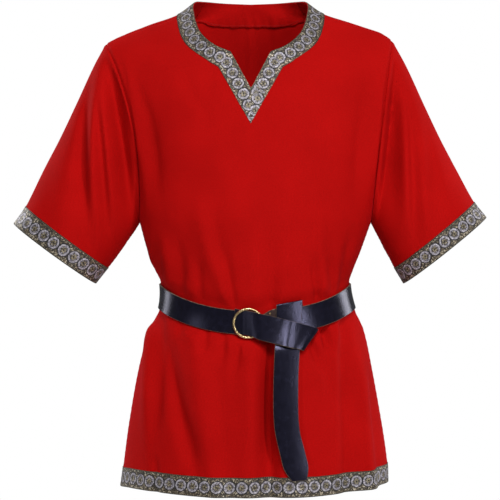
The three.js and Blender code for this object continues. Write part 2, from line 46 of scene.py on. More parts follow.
camera.data.sensor_width = 36
camera.data.lens = 121.5
bpy.context.collection.objects.link(camera)
bpy.context.scene.camera = camera

# ------------------------------------------------------------------ sizes of the garment, in mm
SIDES = (("left", -1), ("right", 1))
CLOTH = 1.2               # the cotton with its seam turnings
RIBBON = 0.7
RIBBON_GAP = 0.25         # between the cloth and the ribbon on it
SEAM = 0.3                # gap between pieces sewn together
FAR = 1000                # past every distance on the garment
TRIM_WIDTH = 30
CUFF_TOP = 0.865          # share of the sleeve's length where its ribbon begins
MEDALLION_PITCH = 19.4
HEM = -748
ARMPIT = -328
ROUNDNESS = 0.92
DIP_POWER = 1.7
NECK_CENTRE = 1
V_TIP = 0.5               # shares of a panel's height above the armpits: the slit's tip,
V_CORNER = 2 / 3          # its corner with the round neck,
BACK_NECK = 0.75          # and the middle of the back neck
ARMHOLE_DEPTH = 54
ARMHOLE_SWAY = {-1: 20, 1: 4}     # how far the armhole seam bows towards the body

BELT_WIDTH = 38
BELT_THICK = 2.5
BELT_LEVEL = -446
BELT_REST = 0.9           # between the plain cloth and the strap
BELT_LIFT = 3             # how much further out the strap's right half lies, over the pass
STRAP_START = 0.8835      # shares of a quarter turn from the side seams to the centre front
STRAP_END = 0.8
RING_X = -3
RING_Z = -485.5
RING_RADIUS = 22
RING_WIRE = 2             # half its thickness
RING_OUT = 6.1            # from the plain cloth to the wire's middle

# Sections of the body: height, left and right edges, front and back depths, dip at the centre front.
BODY = (
    (-748, -206, 220, 150, 138, 0),
    (-718, -202, 219, 148, 136, 0),
    (-650, -193, 210, 142, 131, 2),
    (-560, -177, 194, 131, 122, 10),
    (-500, -160, 181, 119, 111, 28),
    (-466, -144, 166, 108, 99, 38),
    (-426, -142, 158, 104, 96, 40),
    (-405, -151, 164, 110, 102, 34),
    (-375, -163, 176, 117, 107, 18),
    (-328, -176, 193, 121, 110, 0),
)
# Centre lines above the armpits: share of the way up, x, y, z.
CENTRE_FRONT = ((0, 8.5, -121, -328), (0.25, 5.5, -114, -226), (0.5, 2, -97, -123))
CENTRE_BACK = ((0, 8.5, 110, -328), (0.25, 6, 108, -205), (0.5, 3, 95, -85), (0.75, 1, 60, 28))
# Neck edge and the trim's outer edge: share, half width, y, z, and the same three for the trim.
ROUND_FRONT = (
    (0, 31, -82, -65, 50, -86, -89),
    (0.2, 55, -72, -54, 68, -78, -78),
    (0.42, 76, -55, -35, 95, -62, -57),
    (0.65, 86, -35, -14, 109, -46, -37),
    (0.86, 90.5, -14, 7, 116, -22, -15),
    (1, 92, 0, 19, 118, 0, 0),
)
SLIT = ((0, 0, -97, -123, 0, -107, -178), (1, 31, -82, -65, 50, -86, -89))
ROUND_BACK = (
    (0, 0, 60, 28, 0, 72, 0),
    (0.36, 45, 54, 29, 54, 68, 2),
    (0.66, 75, 38, 29, 92, 52, 5),
    (0.86, 88, 18, 26, 112, 26, 5),
    (1, 92, 0, 19, 118, 0, 0),
)
# Shoulder seams from the armhole to the neck: share, x, z.
SHOULDER = {
    -1: ((0, -230, -43), (0.1, -216, -35), (0.2, -203, -30), (0.48, -165, -16), (0.82, -118, 0),
         (1, -91, 19)),
    1: ((0, 227, -38), (0.1, 213, -28), (0.2, 200, -23), (0.48, 163, -12), (0.82, 118, 2),
        (1, 93, 19)),
}
# Sleeve sections: share, top half span and height, underarm half spans and height, half depth.
SLEEVE = (
    (0.1, 249, -78, 183, 199, -340, 62),
    (0.3, 277, -139, 195, 208, -357, 69),
    (0.5, 303, -194, 206, 216, -373, 69),
    (0.7, 330, -246, 216, 224, -387, 66),
    (CUFF_TOP, 358, -303, 227, 231, -401, 62),
    (1, 377, -331, 247, 246, -426, 60),
)

# Folds: from (x, z) by way of (x, z) to (x, z), how far they stand out, width at both ends, 1 if
# they come from under the belt or run off the end of the cloth, and how much they lean, if at all.
FOLDS_FRONT = (
    # chest and waist
    (-28, -440, -36, -398, -45, -350, -5, 6, 11, 1),
    (-77, -430, -80, -405, -84, -375, -3, 6, 9, 1),
    (-36, -446, -66, -365, -88, -275, 4, 9, 18, 1),
    (-18, -350, -28, -290, -38, -225, 2.5, 18, 22, 0),
    (-46, -425, -50, -370, -56, -310, -2.5, 8, 12, 0),
    (-105, -432, -110, -385, -122, -325, -4, 8, 14, 1),
    (-126, -425, -132, -385, -146, -335, 3, 7, 11, 1),
    (31, -440, 29, -380, 27, -310, -2.5, 12, 20, 1),
    (8, -440, 4, -385, 2, -310, 2, 14, 22, 1),
    (78, -432, 74, -365, 70, -285, -2.5, 11, 18, 1),
    (103, -436, 100, -410, 96, -378, -5.5, 5, 8, 1),
    (112, -425, 108, -365, 98, -285, 3.5, 8, 14, 1),
    (128, -426, 127, -405, 124, -378, -3.5, 5, 8, 1),
    (136, -420, 138, -380, 146, -335, 2.5, 6, 11, 1),
    (149, -410, 152, -375, 160, -335, -3, 6, 10, 1),
    (60, -175, 80, -120, 110, -85, -1.6, 10, 16, 0),
    (-60, -175, -90, -130, -118, -85, -1.6, 10, 16, 0),
    (-140, -32, -150, -48, -166, -60, -2, 5, 8, 0),
    (146, -30, 158, -44, 172, -58, -2, 5, 8, 0),
    (-196, -70, -176, -165, -162, -310, 5, 6, 7, 0),
    (206, -70, 200, -170, 182, -310, 5, 6, 7, 0),
    (-180, -110, -156, -200, -146, -300, -6, 12, 12, 0),
    (188, -90, 176, -180, 164, -300, -5, 12, 12, 0),
    # skirt
    (-157, -475, -157, -560, -160, -720, 8, 7, 10, 1, 0.3),
    (-142, -480, -142, -560, -144, -690, -6, 8, 10, 1),
    (-130, -500, -111, -631, -76, -725, -12, 12, 15, 0, -0.25),
    (-84, -505, -74, -610, -48, -748, 5, 16, 22, 1),
    (-50, -510, -46, -620, -30, -748, -3.5, 10, 18, 1),
    (-28, -520, -26, -620, -24, -700, -3, 12, 18, 0),
    (35, -500, 34, -620, 33, -745, -22, 13, 16, 0, 0.3),
    (34, -500, 33, -620, 31, -748, -7, 13, 16, 1, 0.3),
    (2, -520, 2, -620, 0, -748, 3, 12, 16, 1),
    (70, -520, 76, -620, 84, -748, 4, 16, 26, 1),
    (112, -505, 122, -560, 130, -640, -4, 8, 18, 1),
    (146, -505, 150, -620, 152, -748, -8, 11, 15, 1, -0.2),
    (171, -520, 178, -640, 186, -748, 7, 9, 12, 1),
    (188, -560, 197, -660, 204, -748, -4, 7, 9, 1),
    (112, -470, 119, -500, 128, -535, -13, 5, 8, 1, 0.3),
    (128, -468, 136, -500, 144, -540, 4, 6, 10, 1),
    (90, -500, 98, -520, 110, -565, -8, 5, 9, 1),
    (104, -500, 108, -515, 112, -540, 4, 5, 8, 1),
    (-14, -506, -17, -524, -24, -570, -5, 5, 8, 1, 0.3),
    (0, -508, -1, -526, -5, -560, 4, 5, 8, 1),
    (-66, -484, -68, -500, -74, -540, -6, 5, 8, 1),
    (-40, -496, -41, -515, -46, -560, -5, 5, 8, 1),
    (-104, -470, -106, -490, -112, -520, -3, 5, 9, 1),
    (-146, -690, -145, -720, -144, -748, -3, 5, 6, 1),
)
FOLDS_BACK = (
    (0, -110, 2, -200, 5, -330, -4, 8, 16, 0),
    (0, 20, 1, -60, 2, -190, -3, 5, 10, 0),
    (-24, 10, -28, -40, -34, -110, 2, 6, 12, 0),
    (30, 10, 34, -40, 40, -110, 2, 6, 12, 0),
    (-60, -110, -70, -200, -78, -320, 3, 14, 20, 0),
    (66, -120, 74, -210, 84, -330, 3, 14, 20, 0),
    (-22, -400, -26, -350, -30, -290, -5, 6, 12, 1),
    (30, -400, 28, -350, 30, -280, -5, 6, 12, 1),
    (4, -400, 4, -350, 5, -280, 4, 9, 14, 1),
    (-72, -405, -78, -360, -88, -290, -4, 7, 13, 1),
    (-48, -402, -54, -350, -62, -260, 4, 9, 16, 1),
    (76, -405, 80, -360, 92, -290, -4, 7, 13, 1),
    (54, -402, 58, -350, 66, -260, 4, 9, 16, 1),
    (-112, -412, -120, -370, -134, -320, -4, 7, 12, 1),
    (118, -414, 124, -375, 140, -320, -4, 7, 12, 1),
    (-166, -120, -160, -200, -154, -300, -5, 12, 12, 0),
    (178, -100, 172, -190, 164, -300, -4, 12, 12, 0),
    (-136, -30, -150, -46, -166, -60, -2, 5, 8, 0),
    (140, -26, 154, -40, 170, -56, -2, 5, 8, 0),
    (-120, -470, -128, -600, -138, -748, -10, 12, 18, 1),
    (-88, -470, -92, -600, -98, -748, 6, 14, 22, 1),
    (-40, -465, -50, -600, -56, -748, -6, 10, 19, 1),
    (-8, -465, -6, -600, -4, -748, 5, 12, 20, 1),
    (32, -465, 36, -600, 44, -748, -11, 11, 18, 1),
    (72, -468, 78, -600, 86, -748, 6, 12, 20, 1),
    (106, -470, 116, -600, 122, -748, -5, 10, 18, 1),
    (144, -480, 154, -600, 164, -748, -8, 10, 15, 1),
    (-158, -480, -168, -600, -176, -748, 5, 8, 13, 1),
    (14, -462, 15, -478, 16, -500, -4, 4, 7, 1),
    (-62, -462, -66, -480, -70, -505, -4, 4, 7, 1),
    (90, -468, 94, -485, 98, -508, -4, 4, 7, 1),
)
FOLDS_SLEEVE = {
    -1: (
        (-226, -68, -207, -160, -188, -345, -27, 11, 12, 0),
        (-238, -90, -230, -170, -212, -350, 6, 6, 9, 0),
        (-240, -140, -229, -240, -224, -370, -7, 5, 8, 0),
        (-240, -66, -248, -150, -238, -350, 8, 7, 9, 0),
        (-252, -82, -260, -158, -256, -330, -13, 9, 12, 0, 0.3),
        (-290, -200, -292, -290, -296, -400, 3, 14, 20, 1),
        (-250, -330, -256, -370, -262, -420, -3, 8, 12, 1),
    ),
    1: (
        (231, -78, 220, -200, 203, -345, -26, 15, 19, 0, -0.6),
        (238, -100, 241, -200, 244, -340, 7, 8, 12, 0),
        (252, -140, 256, -250, 260, -380, -9, 8, 12, 0, -0.25),
        (272, -140, 284, -230, 294, -340, -5, 9, 14, 0),
        (262, -200, 268, -300, 276, -420, 3, 12, 18, 1),
        (223, -66, 228, -84, 233, -108, -4, 3, 6, 0),
    ),
}

# The belt's stretch through the ring: upper edge x, z, lower edge x, z, distance out from the cloth.
PASS = (
    (-23, -463.8, -23, -502, 2.15),
    (-12, -465.7, -12, -502.6, 2.3),
    (-3, -466.9, -3, -503.7, 6.1),
    (7, -468.8, 5, -505.6, 10.2),
    (17, -471.5, 12, -509, 12.5),
    (26, -473, 19, -511, 13),
    (36, -475.5, 29, -513.5, 12.8),
    (50, -479, 42, -517, 12.6),
    (65, -483, 53, -519.5, 14.4),
    (78, -486.5, 63, -522, 13.3),
    (91, -490, 71, -523.5, 11.6),
    (101, -493, 78, -525, 10.6),
    (104, -495, 81, -526, 9),
    (105, -495.5, 82, -526, 6.4),
    (104, -495, 81, -524.5, 3.7),
    (101, -491.5, 77, -521, 2.1),
    (90, -472, 60, -492, 2.05),
    (80.5, -457, 42, -464, 2.05),
)
# The hanging end: right edge x, z, left edge x, z, distance out.
TAIL = (
    (80.5, -454, 41.5, -461, 3),
    (80.2, -451, 41.3, -458, 4.6),
    (80, -453.5, 41, -460, 6.6),
    (79, -470, 40.5, -474, 9),
    (77, -503, 39.5, -503, 8.4),
    (75.5, -528, 38, -528, 6.8),
    (74, -550, 37, -550, 4),
    (73, -580, 36, -580, 2.6),
    (73, -620, 36, -620, 2.6),
    (75.5, -650, 38.5, -650, 2.8),
    (83, -680, 46, -683, 3.2),
    (88, -703, 52, -705, 3.6),
    (85.5, -721, 64, -723, 3.6),
)
# The middle of the hanging end: height, x.
TAIL_MIDDLE = ((-740, 76), (-721, 75), (-703, 70), (-681, 64.5), (-650, 57), (-600, 54.5), (-500, 58))
# The end fold: half width in the ring and at its ends, where its legs end behind and in front, how
# far it reaches round the wire, and how far it stands off the wire.
FOLD_HALF, FOLD_WIDE, FOLD_BACK, FOLD_FRONT, FOLD_APEX, FOLD_RISE = 12, 19.5, 58, 39, 4.8, 4.1


# ------------------------------------------------------------------ small tools
def smooth(x, low, high):
    """Rises from 0 at low to 1 at high."""
    t = np.clip((np.asarray(x, float) - low) / (high - low), 0, 1)
    return t * t * (3 - 2 * t)


def unit(v):
    return v / np.maximum(np.linalg.norm(v, axis=-1, keepdims=True), 1e-9)


def points(x, y, z):
    return np.stack(np.broadcast_arrays(np.asarray(x, float), y, z), -1)


def travel(spots, axis=0):
    """How far each point lies along its line of points."""
    step = np.linalg.norm(np.diff(spots, axis=axis), axis=-1)
    return np.insert(np.cumsum(step, axis), 0, 0, axis)


def read(table, at):
    """The columns of a table at any place between its rows, on smooth curves."""
    rows = np.array(table, float)
    at = np.asarray(at, float)
    i = np.clip(np.searchsorted(rows[:, 0], at) - 1, 0, len(rows) - 2)
    a, b = rows[i], rows[i + 1]
    before, after = rows[np.maximum(i - 1, 0)], rows[np.minimum(i + 2, len(rows) - 1)]
    span = (b - a)[..., :1]
    t = np.clip((at[..., None] - a[..., :1]) / span, 0, 1)
    slope_a = (b - before) / (b - before)[..., :1] * span
    slope_b = (after - a) / (after - a)[..., :1] * span
    row = (a * (2 * t**3 - 3 * t**2 + 1) + slope_a * (t**3 - 2 * t**2 + t)
           + b * (3 * t**2 - 2 * t**3) + slope_b * (t**3 - t**2))
    return np.moveaxis(row[..., 1:], -1, 0)


def folds_at(folds, x, z):
    """How far the folds push the cloth out at (x, z)."""
    out = np.zeros(np.broadcast(x, z).shape)
    for x0, z0, x1, z1, x2, z2, push, wide0, wide1, runs_off, *lean in folds:
        ax, az = x2 - x0, z2 - z0
        t = ((x - x0) * ax + (z - z0) * az) / (ax * ax + az * az)
        s = np.clip(t, 0, 1)
        line_x = x0 + ax * s + 4 * s * (1 - s) * (x1 - (x0 + x2) / 2)
        line_z = z0 + az * s + 4 * s * (1 - s) * (z1 - (z0 + z2) / 2)
        length = math.hypot(ax, az)
        off = ((x - line_x) * az - (z - line_z) * ax) / length
        width = (wide0 + (wide1 - wide0) * s) * (1 + (lean[0] if lean else 0) * np.tanh(off / 3))
        if runs_off:
            from_belt = abs(z0 - BELT_LEVEL) < 60
            start = smooth(t, -0.6, 0) if from_belt else smooth(t, -0.05, 0.3)
            stop = 1 if z2 <= HEM else 1 - smooth(t, 0.45, 1.05)
        else:
            start, stop = smooth(t, -0.1, 0.35), 1 - smooth(t, 0.6, 1.1)
        out += push * start * stop * np.exp(-((off / width) ** 2))
    return out


def ripples(x, z, seed, count, size, lean):
    """Low uneven waves of the cloth: size is their length in mm, lean how much they run upright."""
    chance = np.random.RandomState(seed)
    out = np.zeros(np.broadcast(x, z).shape)
    for _ in range(count):
        length = size * chance.uniform(0.6, 1.7)
        tilt = chance.normal(0, lean)
        phase, slow = chance.uniform(0, 2 * math.pi, 2)
        along = x * math.cos(tilt) + z * math.sin(tilt)
        patch = 0.5 + 0.5 * np.sin(z / (size * chance.uniform(2, 4)) + x / (size * 5) + slow)
        out += np.sin(2 * math.pi * along / length + phase) * patch
    return out / math.sqrt(count)


# ------------------------------------------------------------------ surfaces of the garment
# side is -1 on the left and 1 on the right; face is -1 in front and 1 behind. u runs from the side
# seam or armhole (0) to the centre or neck (1).
def body_point(side, face, u, level):
    """The plain body below the armpits, without folds."""
    left, right, front, back, dip = read(BODY, level)
    angle = np.asarray(u, float) * math.pi / 2
    sine, cosine = np.sin(angle), np.maximum(np.cos(angle), 0)
    depth = front if face < 0 else back
    x = (left + right) / 2 + side * (right - left) / 2 * cosine**ROUNDNESS
    return points(x, face * depth * sine**ROUNDNESS, level + face * dip * sine**DIP_POWER)


def armhole(side):
    """The armhole's highest and lowest points."""
    _, x, z = SHOULDER[side][0]
    top = np.array([x, 0, z], float)
    low = body_point(side, -1, 0, ARMPIT)
    return top, low


def seam_plane(side):
    """The direction square to the armhole's plane, towards the body."""
    top, low = armhole(side)
    axis = top - low
    return unit(np.array([-axis[2], 0, axis[0]])) * side


def armhole_point(side, face, turn):
    """A point of the armhole's seam: turn is 0 at the armpit and 1 at the shoulder."""
    top, low = armhole(side)
    angle = np.asarray(turn, float) * math.pi
    p = (top + low) / 2 - (top - low) / 2 * np.cos(angle)[..., None]
    p[..., 1] = face * ARMHOLE_DEPTH * np.sin(angle)
    return p + seam_plane(side) * (ARMHOLE_SWAY[side] * np.sin(angle) ** 2)[..., None]


def shoulder_point(side, u):
    x, z = read(SHOULDER[side], u)
    return points(x, 0, z)


def neck_point(side, table, at):
    """A point of the neck's edge, and below it one of the trim's outer edge."""
    half, y, z, *_ = read(table, at)
    return points(NECK_CENTRE + side * half, y, z)


def trim_point(side, table, at):
    *_, half, y, z = read(table, at)
    return points(NECK_CENTRE + side * half, y, z)


def opening_point(side, face, v):
    """The panel's inner edge above the armpit: centre line, slit, round neck."""
    v = np.asarray(v, float)[..., None]
    flat = v[..., 0]
    if face > 0:
        centre = np.moveaxis(read(CENTRE_BACK, flat), 0, -1)
        return np.where(v > BACK_NECK, neck_point(side, ROUND_BACK, (flat - BACK_NECK) / (1 - BACK_NECK)),
                        centre)
    centre = np.moveaxis(read(CENTRE_FRONT, np.minimum(flat, V_TIP)), 0, -1)
    corner = neck_point(side, SLIT, 1.0)
    slit = centre + (corner - centre) * (v - V_TIP) / (V_CORNER - V_TIP)
    neck = neck_point(side, ROUND_FRONT, (flat - V_CORNER) / (1 - V_CORNER))
    return np.where(v > V_CORNER, neck, np.where(v > V_TIP, slit, centre))


def yoke_point(side, face, u, v):
    """The panel above the armpits, stretched between armpit level, shoulder, armhole and neck."""
    left = ((1 - u) ** 2)[..., None]
    low = (1 - 3 * v**2 + 2 * v**3)[..., None]
    seam0, seam1 = body_point(side, face, 0, ARMPIT), body_point(side, face, 1, ARMPIT)
    top0, top1 = shoulder_point(side, 0), shoulder_point(side, 1)
    return (body_point(side, face, u, ARMPIT) * low + shoulder_point(side, u) * (1 - low)
            + armhole_point(side, face, v) * left + opening_point(side, face, v) * (1 - left)
            - low * (seam0 * left + seam1 * (1 - left))
            + (low - 1) * (top0 * left + top1 * (1 - left)))


def tail_press(x, z):
    """1 where the belt's knot or its hanging end lies on the skirt, 0 away from it."""
    (middle,) = read(TAIL_MIDDLE, np.clip(z, -740, -500))
    tail = (1 - smooth(np.abs(x - middle), 20, 27)) * (1 - smooth(z, -520, -500)) * smooth(z, -742, -728)
    knot = (1 - smooth(np.abs(x - 42), 64, 76)) * smooth(z, -540, -530) * (1 - smooth(z, -490, -480))
    return np.maximum(tail, knot)


def panel_point(side, face, u, v):
    """A panel's outer face with its folds. v is 0 to 1 below the armpit and 1 to 2 above it."""
    u, v = np.broadcast_arrays(np.asarray(u, float), np.asarray(v, float))
    below = v <= 1
    level = HEM + (ARMPIT - HEM) * np.minimum(v, 1)
    p = np.where(below[..., None], body_point(side, face, u, level),
                 yoke_point(side, face, u, np.clip(v - 1, 0, 1)))
    angle = u * math.pi / 2
    folds = FOLDS_FRONT if face < 0 else FOLDS_BACK
    out = folds_at(folds, p[..., 0], p[..., 2])
    for height, seed, length, lean in ((0.55, 11, 46, 0.22), (0.16, 31, 17, 0.5)):
        out += height * ripples(p[..., 0], p[..., 2], seed - face, 9, length, lean)
    # The belt presses the cloth flat; beside the belt it swells a little.
    off = np.abs(level - BELT_LEVEL)
    free = smooth(off, 19, 34)
    out += np.where(below, 2.0 * np.exp(-(((off - 38) / 11) ** 2)) * smooth(u, 0.2, 0.6), 0)
    out = np.where(out > 0, out * free, out * (0.3 + 0.7 * free))
    if face < 0:
        out = np.where(out > 0, out * (1 - tail_press(p[..., 0], p[..., 2])), out)
    # The folds die out towards the seams.
    out *= smooth(u, 0, 0.14 - 0.09 * smooth(v, 0.9, 1.1)) * (1 - smooth(v, 1.7, 1.95))
    # The hem rises a little towards the sides.
    hem_lift = 4.5 * smooth(u, 0, 0.3) * (1 - smooth(u, 0.4, 0.9)) * (1 - smooth(level, HEM, HEM + 160))
    if side > 0:
        hem_lift += 7 * (1 - smooth(u, 0, 0.45)) * (1 - smooth(level, HEM, HEM + 130))
    p[..., 2] += np.where(below, hem_lift, 0)
    return p + points(side * np.cos(angle), face * np.sin(angle), 0) * out[..., None]


def sleeve_point(side, u, v):
    """A sleeve's outer face: u goes round from the underarm by the front and over the top."""
    top, low = armhole(side)
    first = (0, abs(top[0]), top[2], abs(low[0]), abs(low[0]), low[2], ARMHOLE_DEPTH)
    high, high_z, low_left, low_right, low_z, depth = read((first, *SLEEVE), v)
    cuff_lift = 10 * smooth(v, 0.65, 1) if side > 0 else 0
    upper = points(side * high, 0, high_z + cuff_lift)
    under = points(side * (low_left if side < 0 else low_right), 0, low_z)
    angle = u * 2 * math.pi
    p = (upper + under) / 2 - (upper - under) / 2 * np.cos(angle)[..., None]
    p[..., 1] = -depth * np.sin(angle)
    p += seam_plane(side) * (ARMHOLE_SWAY[side] * np.sin(angle) ** 2 * (1 - smooth(v, 0, 0.5)))[..., None]
    # The folds are half as deep on the back of the sleeve.
    out = folds_at(FOLDS_SLEEVE[side], p[..., 0], p[..., 2]) * np.where(np.sin(angle) > 0, 1, 0.5)
    for height, seed, length, lean in ((0.5, 50, 40, 0.3), (0.14, 60, 16, 0.5)):
        out += height * ripples(p[..., 0], p[..., 2], seed + side, 9, length, lean)
    out *= smooth(v, 0, 0.035) * (1 - 0.5 * smooth(v, 0.7, 1))
    p[..., 1] -= np.sin(angle) * out
    return p


def belt_point(x, z, out):
    """The place in front of the belly at (x, z) that stands this far out from the plain cloth."""
    x, z, out = np.broadcast_arrays(np.asarray(x, float), np.asarray(z, float), np.asarray(out, float))
    outward = points(np.zeros(x.shape), -1, 0)
    level = z.copy()
    for _ in range(8):
        left, right, front, _, _ = read(BODY, level)
        middle, half = (left + right) / 2, (right - left) / 2
        side = np.sign(x - middle)
        share = np.abs(x - out * outward[..., 0] - middle) / half
        angle = np.arccos(np.clip(share ** (1 / ROUNDNESS), 0, 1))
        p = body_point(side, -1, 2 / math.pi * angle, level)
        outward = unit(points(side * np.cos(angle) / half, -np.sin(angle) / front, 0))
        level = level + z - p[..., 2]
    return points(x, p[..., 1] + outward[..., 1] * out, z)


# ------------------------------------------------------------------ thin shells
def sheet_of(grid, flip, cloth=None):
    """A grid of points with its own flat coordinates, in mm along and across."""
    if cloth is None:
        cloth = np.stack([travel(grid, 1), travel(grid, 0)], -1)
    return {"points": grid, "cloth": cloth, "flip": flip}


def join_sheets(sheets):
    """One set of points and quads; edge points that sheets share become one."""
    spots, cloth, quads, start = [], [], [], 0
    for sheet in sheets:
        rows, columns = sheet["points"].shape[:2]
        index = np.arange(rows * columns).reshape(rows, columns) + start
        quad = np.stack([index[:-1, :-1], index[:-1, 1:], index[1:, 1:], index[1:, :-1]], -1).reshape(-1, 4)
        quads.append(quad[:, ::-1] if sheet["flip"] else quad)
        spots.append(sheet["points"].reshape(-1, 3))
        cloth.append(sheet["cloth"].reshape(-1, 2))
        start += rows * columns
    spots, cloth, quads = np.concatenate(spots), np.concatenate(cloth), np.concatenate(quads)
    _, first, joined = np.unique(np.round(spots / 0.01).astype(np.int64), axis=0, return_index=True,
                                 return_inverse=True)
    joined = joined.reshape(-1)
    return spots[first], joined[quads], cloth[quads], cloth[first]


def skin_normals(spots, quads):
    """The way out of the skin at each spot, from the faces around it."""
    a, b, c, d = (spots[quads[:, i]] for i in range(4))
    across = np.cross(c - a, d - b)
    normals = np.zeros(spots.shape)
    for i in range(4):
        np.add.at(normals, quads[:, i], across)
    return unit(normals)


def shell(name, sheets, inner, outer, looks, settle=None, shape=None, bulge=0.3, crease=40):
    """A thin closed wall on joined sheets, between the distances inner and outer from them. looks are
    the materials of its outside, inside and rim; settle turns the ways out, shape moves the spots."""
    spots, quads, corner_cloth, spot_cloth = join_sheets(sheets)
    normals = skin_normals(spots, quads)
    if settle is not None:
        normals = unit(settle(normals, spots))
    if shape is not None:
        spots = spots + normals * shape(spots, spot_cloth)[:, None]
    count = len(spots)
    edges = np.concatenate([quads[:, [i, (i + 1) % 4]] for i in range(4)])
    code, back = edges[:, 0] * count + edges[:, 1], edges[:, 1] * count + edges[:, 0]
    rim = edges[~np.isin(code, back)]
    away = np.cross(spots[rim[:, 1]] - spots[rim[:, 0]], normals[rim[:, 0]])
    push = np.zeros(spots.shape)
    np.add.at(push, rim[:, 0], unit(away))
    np.add.at(push, rim[:, 1], unit(away))
    rim_spots = np.unique(rim)
    middle = np.full(count, -1)
    middle[rim_spots] = np.arange(len(rim_spots)) + 2 * count
    between = spots[rim_spots] + normals[rim_spots] * (inner + outer) / 2 + unit(push[rim_spots]) * bulge
    everything = np.concatenate([spots + normals * outer, spots + normals * inner, between])
    start, end = rim[:, 0], rim[:, 1]
    rim_out = np.stack([end, start, middle[start], middle[end]], -1)
    rim_in = np.stack([middle[end], middle[start], start + count, end + count], -1)
    faces = np.concatenate([quads, quads[:, ::-1] + count, rim_out, rim_in])
    rim_cloth = spot_cloth[np.stack([end, start, start, end], -1)]
    cloth = np.concatenate([corner_cloth, corner_cloth[:, ::-1], rim_cloth, rim_cloth])
    same = (faces == np.roll(faces, 1, axis=1)).any(axis=1)
    which = np.concatenate([np.zeros(len(quads)), np.ones(len(quads)), np.full(2 * len(rim), 2)]).astype(int)
    piece = make_piece(name, everything, faces[~same], cloth[~same], which[~same], looks, crease)
    return piece, (spots + normals * outer, quads)


def make_piece(name, spots, faces, cloth, which, looks, crease=40):
    """A piece from spots in mm. which is each face's place in looks; crease is in degrees."""
    mesh = bpy.data.meshes.new(name)
    mesh.from_pydata((spots / 1000).tolist(), [], faces.tolist())
    if cloth is not None:
        mesh.uv_layers.new(name="cloth").data.foreach_set("uv", (cloth / 1000).reshape(-1))
    slots = list(dict.fromkeys(looks))
    for look in slots:
        mesh.materials.append(look)
    numbers = np.array([slots.index(look) for look in looks])
    mesh.polygons.foreach_set("material_index", numbers[which].astype(np.int32))
    mesh.polygons.foreach_set("use_smooth", np.ones(len(faces), bool))
    mesh.update()
    mesh.set_sharp_from_angle(angle=math.radians(crease))
    piece = bpy.data.objects.new(name, mesh)
    bpy.context.collection.objects.link(piece)
    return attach(piece, "root")


def belongs(piece, node):
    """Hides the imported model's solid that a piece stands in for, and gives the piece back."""
    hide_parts(node)
    return piece


# ------------------------------------------------------------------ materials
def colour(value):
    """An sRGB hex colour in linear light."""
    parts = [int(value[i:i + 2], 16) / 255 for i in (1, 3, 5)]
    linear = [p / 12.92 if p <= 0.04045 else ((p + 0.055) / 1.055) ** 2.4 for p in parts]
    return (*linear, 1)


def per_metre(size):
    """How many grains or threads of this size, in mm, lie side by side in a metre."""
    return 1000 / size


def fill(tree, node, *inputs, **values):
    """Sets a node's inputs by order or by name, or links them. A node stands for its first output."""
    sockets = [socket for socket in node.inputs if socket.enabled]
    named = {socket.name.replace(" ", "_"): socket for socket in sockets}
    for socket, value in [*zip(sockets, inputs), *((named[key], value) for key, value in values.items())]:
        if isinstance(value, bpy.types.Node):
            value = next(output for output in value.outputs if output.enabled)
        if isinstance(value, bpy.types.NodeSocket):
            tree.links.new(value, socket)
        else:
            socket.default_value = value


def add(tree, kind, *inputs, stops=(), **values):
    """Adds a node with its inputs. Names in small letters are its settings, a word after a colon is
    its operation, and stops are the places and colours of its ramp."""
    kind, _, operation = kind.partition(":")
    made = tree.nodes.new("ShaderNode" + kind)
    if operation:
        made.operation = operation
    for key in [key for key in values if key.islower()]:
        setattr(made, key, values.pop(key))
    fill(tree, made, *inputs, **values)
    while stops and len(made.color_ramp.elements) < len(stops):
        made.color_ramp.elements.new(0.5)
    for i, (place, shade) in enumerate(stops):
        made.color_ramp.elements[i].position = place
        made.color_ramp.elements[i].color = colour(shade)
    return made


def new_material(name):
    """An empty material, its node tree and its surface shader."""
    material = bpy.data.materials.new(name)
    material.use_nodes = True
    return material, material.node_tree, material.node_tree.nodes["Principled BSDF"]


def cotton():
    """Piece-dyed cotton twill, washed and pressed: a soft matt red with a faint pink bloom at
    grazing angles, a fine diagonal weave and slightly uneven dye."""
    material, tree, surface = new_material("red cotton twill")
    uv = add(tree, "UVMap", uv_map="cloth")
    place = add(tree, "TexCoord").outputs["Object"]
    # The dye varies by a few per cent over about 90 mm.
    cloud = add(tree, "TexNoise", Vector=place, Scale=per_metre(91), Detail=3.0, Roughness=0.5)
    dye = add(tree, "ValToRGB", cloud, stops=((0.3, "#ab0b0a"), (0.7, "#b60d0c")))
    # Twill lines lie 0.5 mm apart; they are drawn 0.9 mm apart so that they still show.
    twill = 2 * math.pi / (10 * math.sqrt(2)) * per_metre(0.9)
    threads = add(tree, "TexWave", Vector=uv, Scale=twill, Distortion=0.6, Detail=1.0,
                  wave_type="BANDS", bands_direction="DIAGONAL")
    # Thicker places in the yarn, 2.4 mm long.
    slub = add(tree, "TexNoise", Vector=uv, Scale=per_metre(2.38), Detail=2.0)
    tone = add(tree, "MapRange", slub, From_Min=0.3, From_Max=0.7, To_Min=0.9, To_Max=1.06)
    height = add(tree, "Math:ADD", threads.outputs["Fac"], slub)
    fill(tree, surface, Base_Color=add(tree, "HueSaturation", Color=dye, Value=tone),
         Normal=add(tree, "Bump", Strength=0.25, Distance=0.0002, Height=height),
         Roughness=0.85, Specular_IOR_Level=0.03, Sheen_Weight=0.16, Sheen_Roughness=0.25,
         Sheen_Tint=colour("#ff2c4a"))
    return material


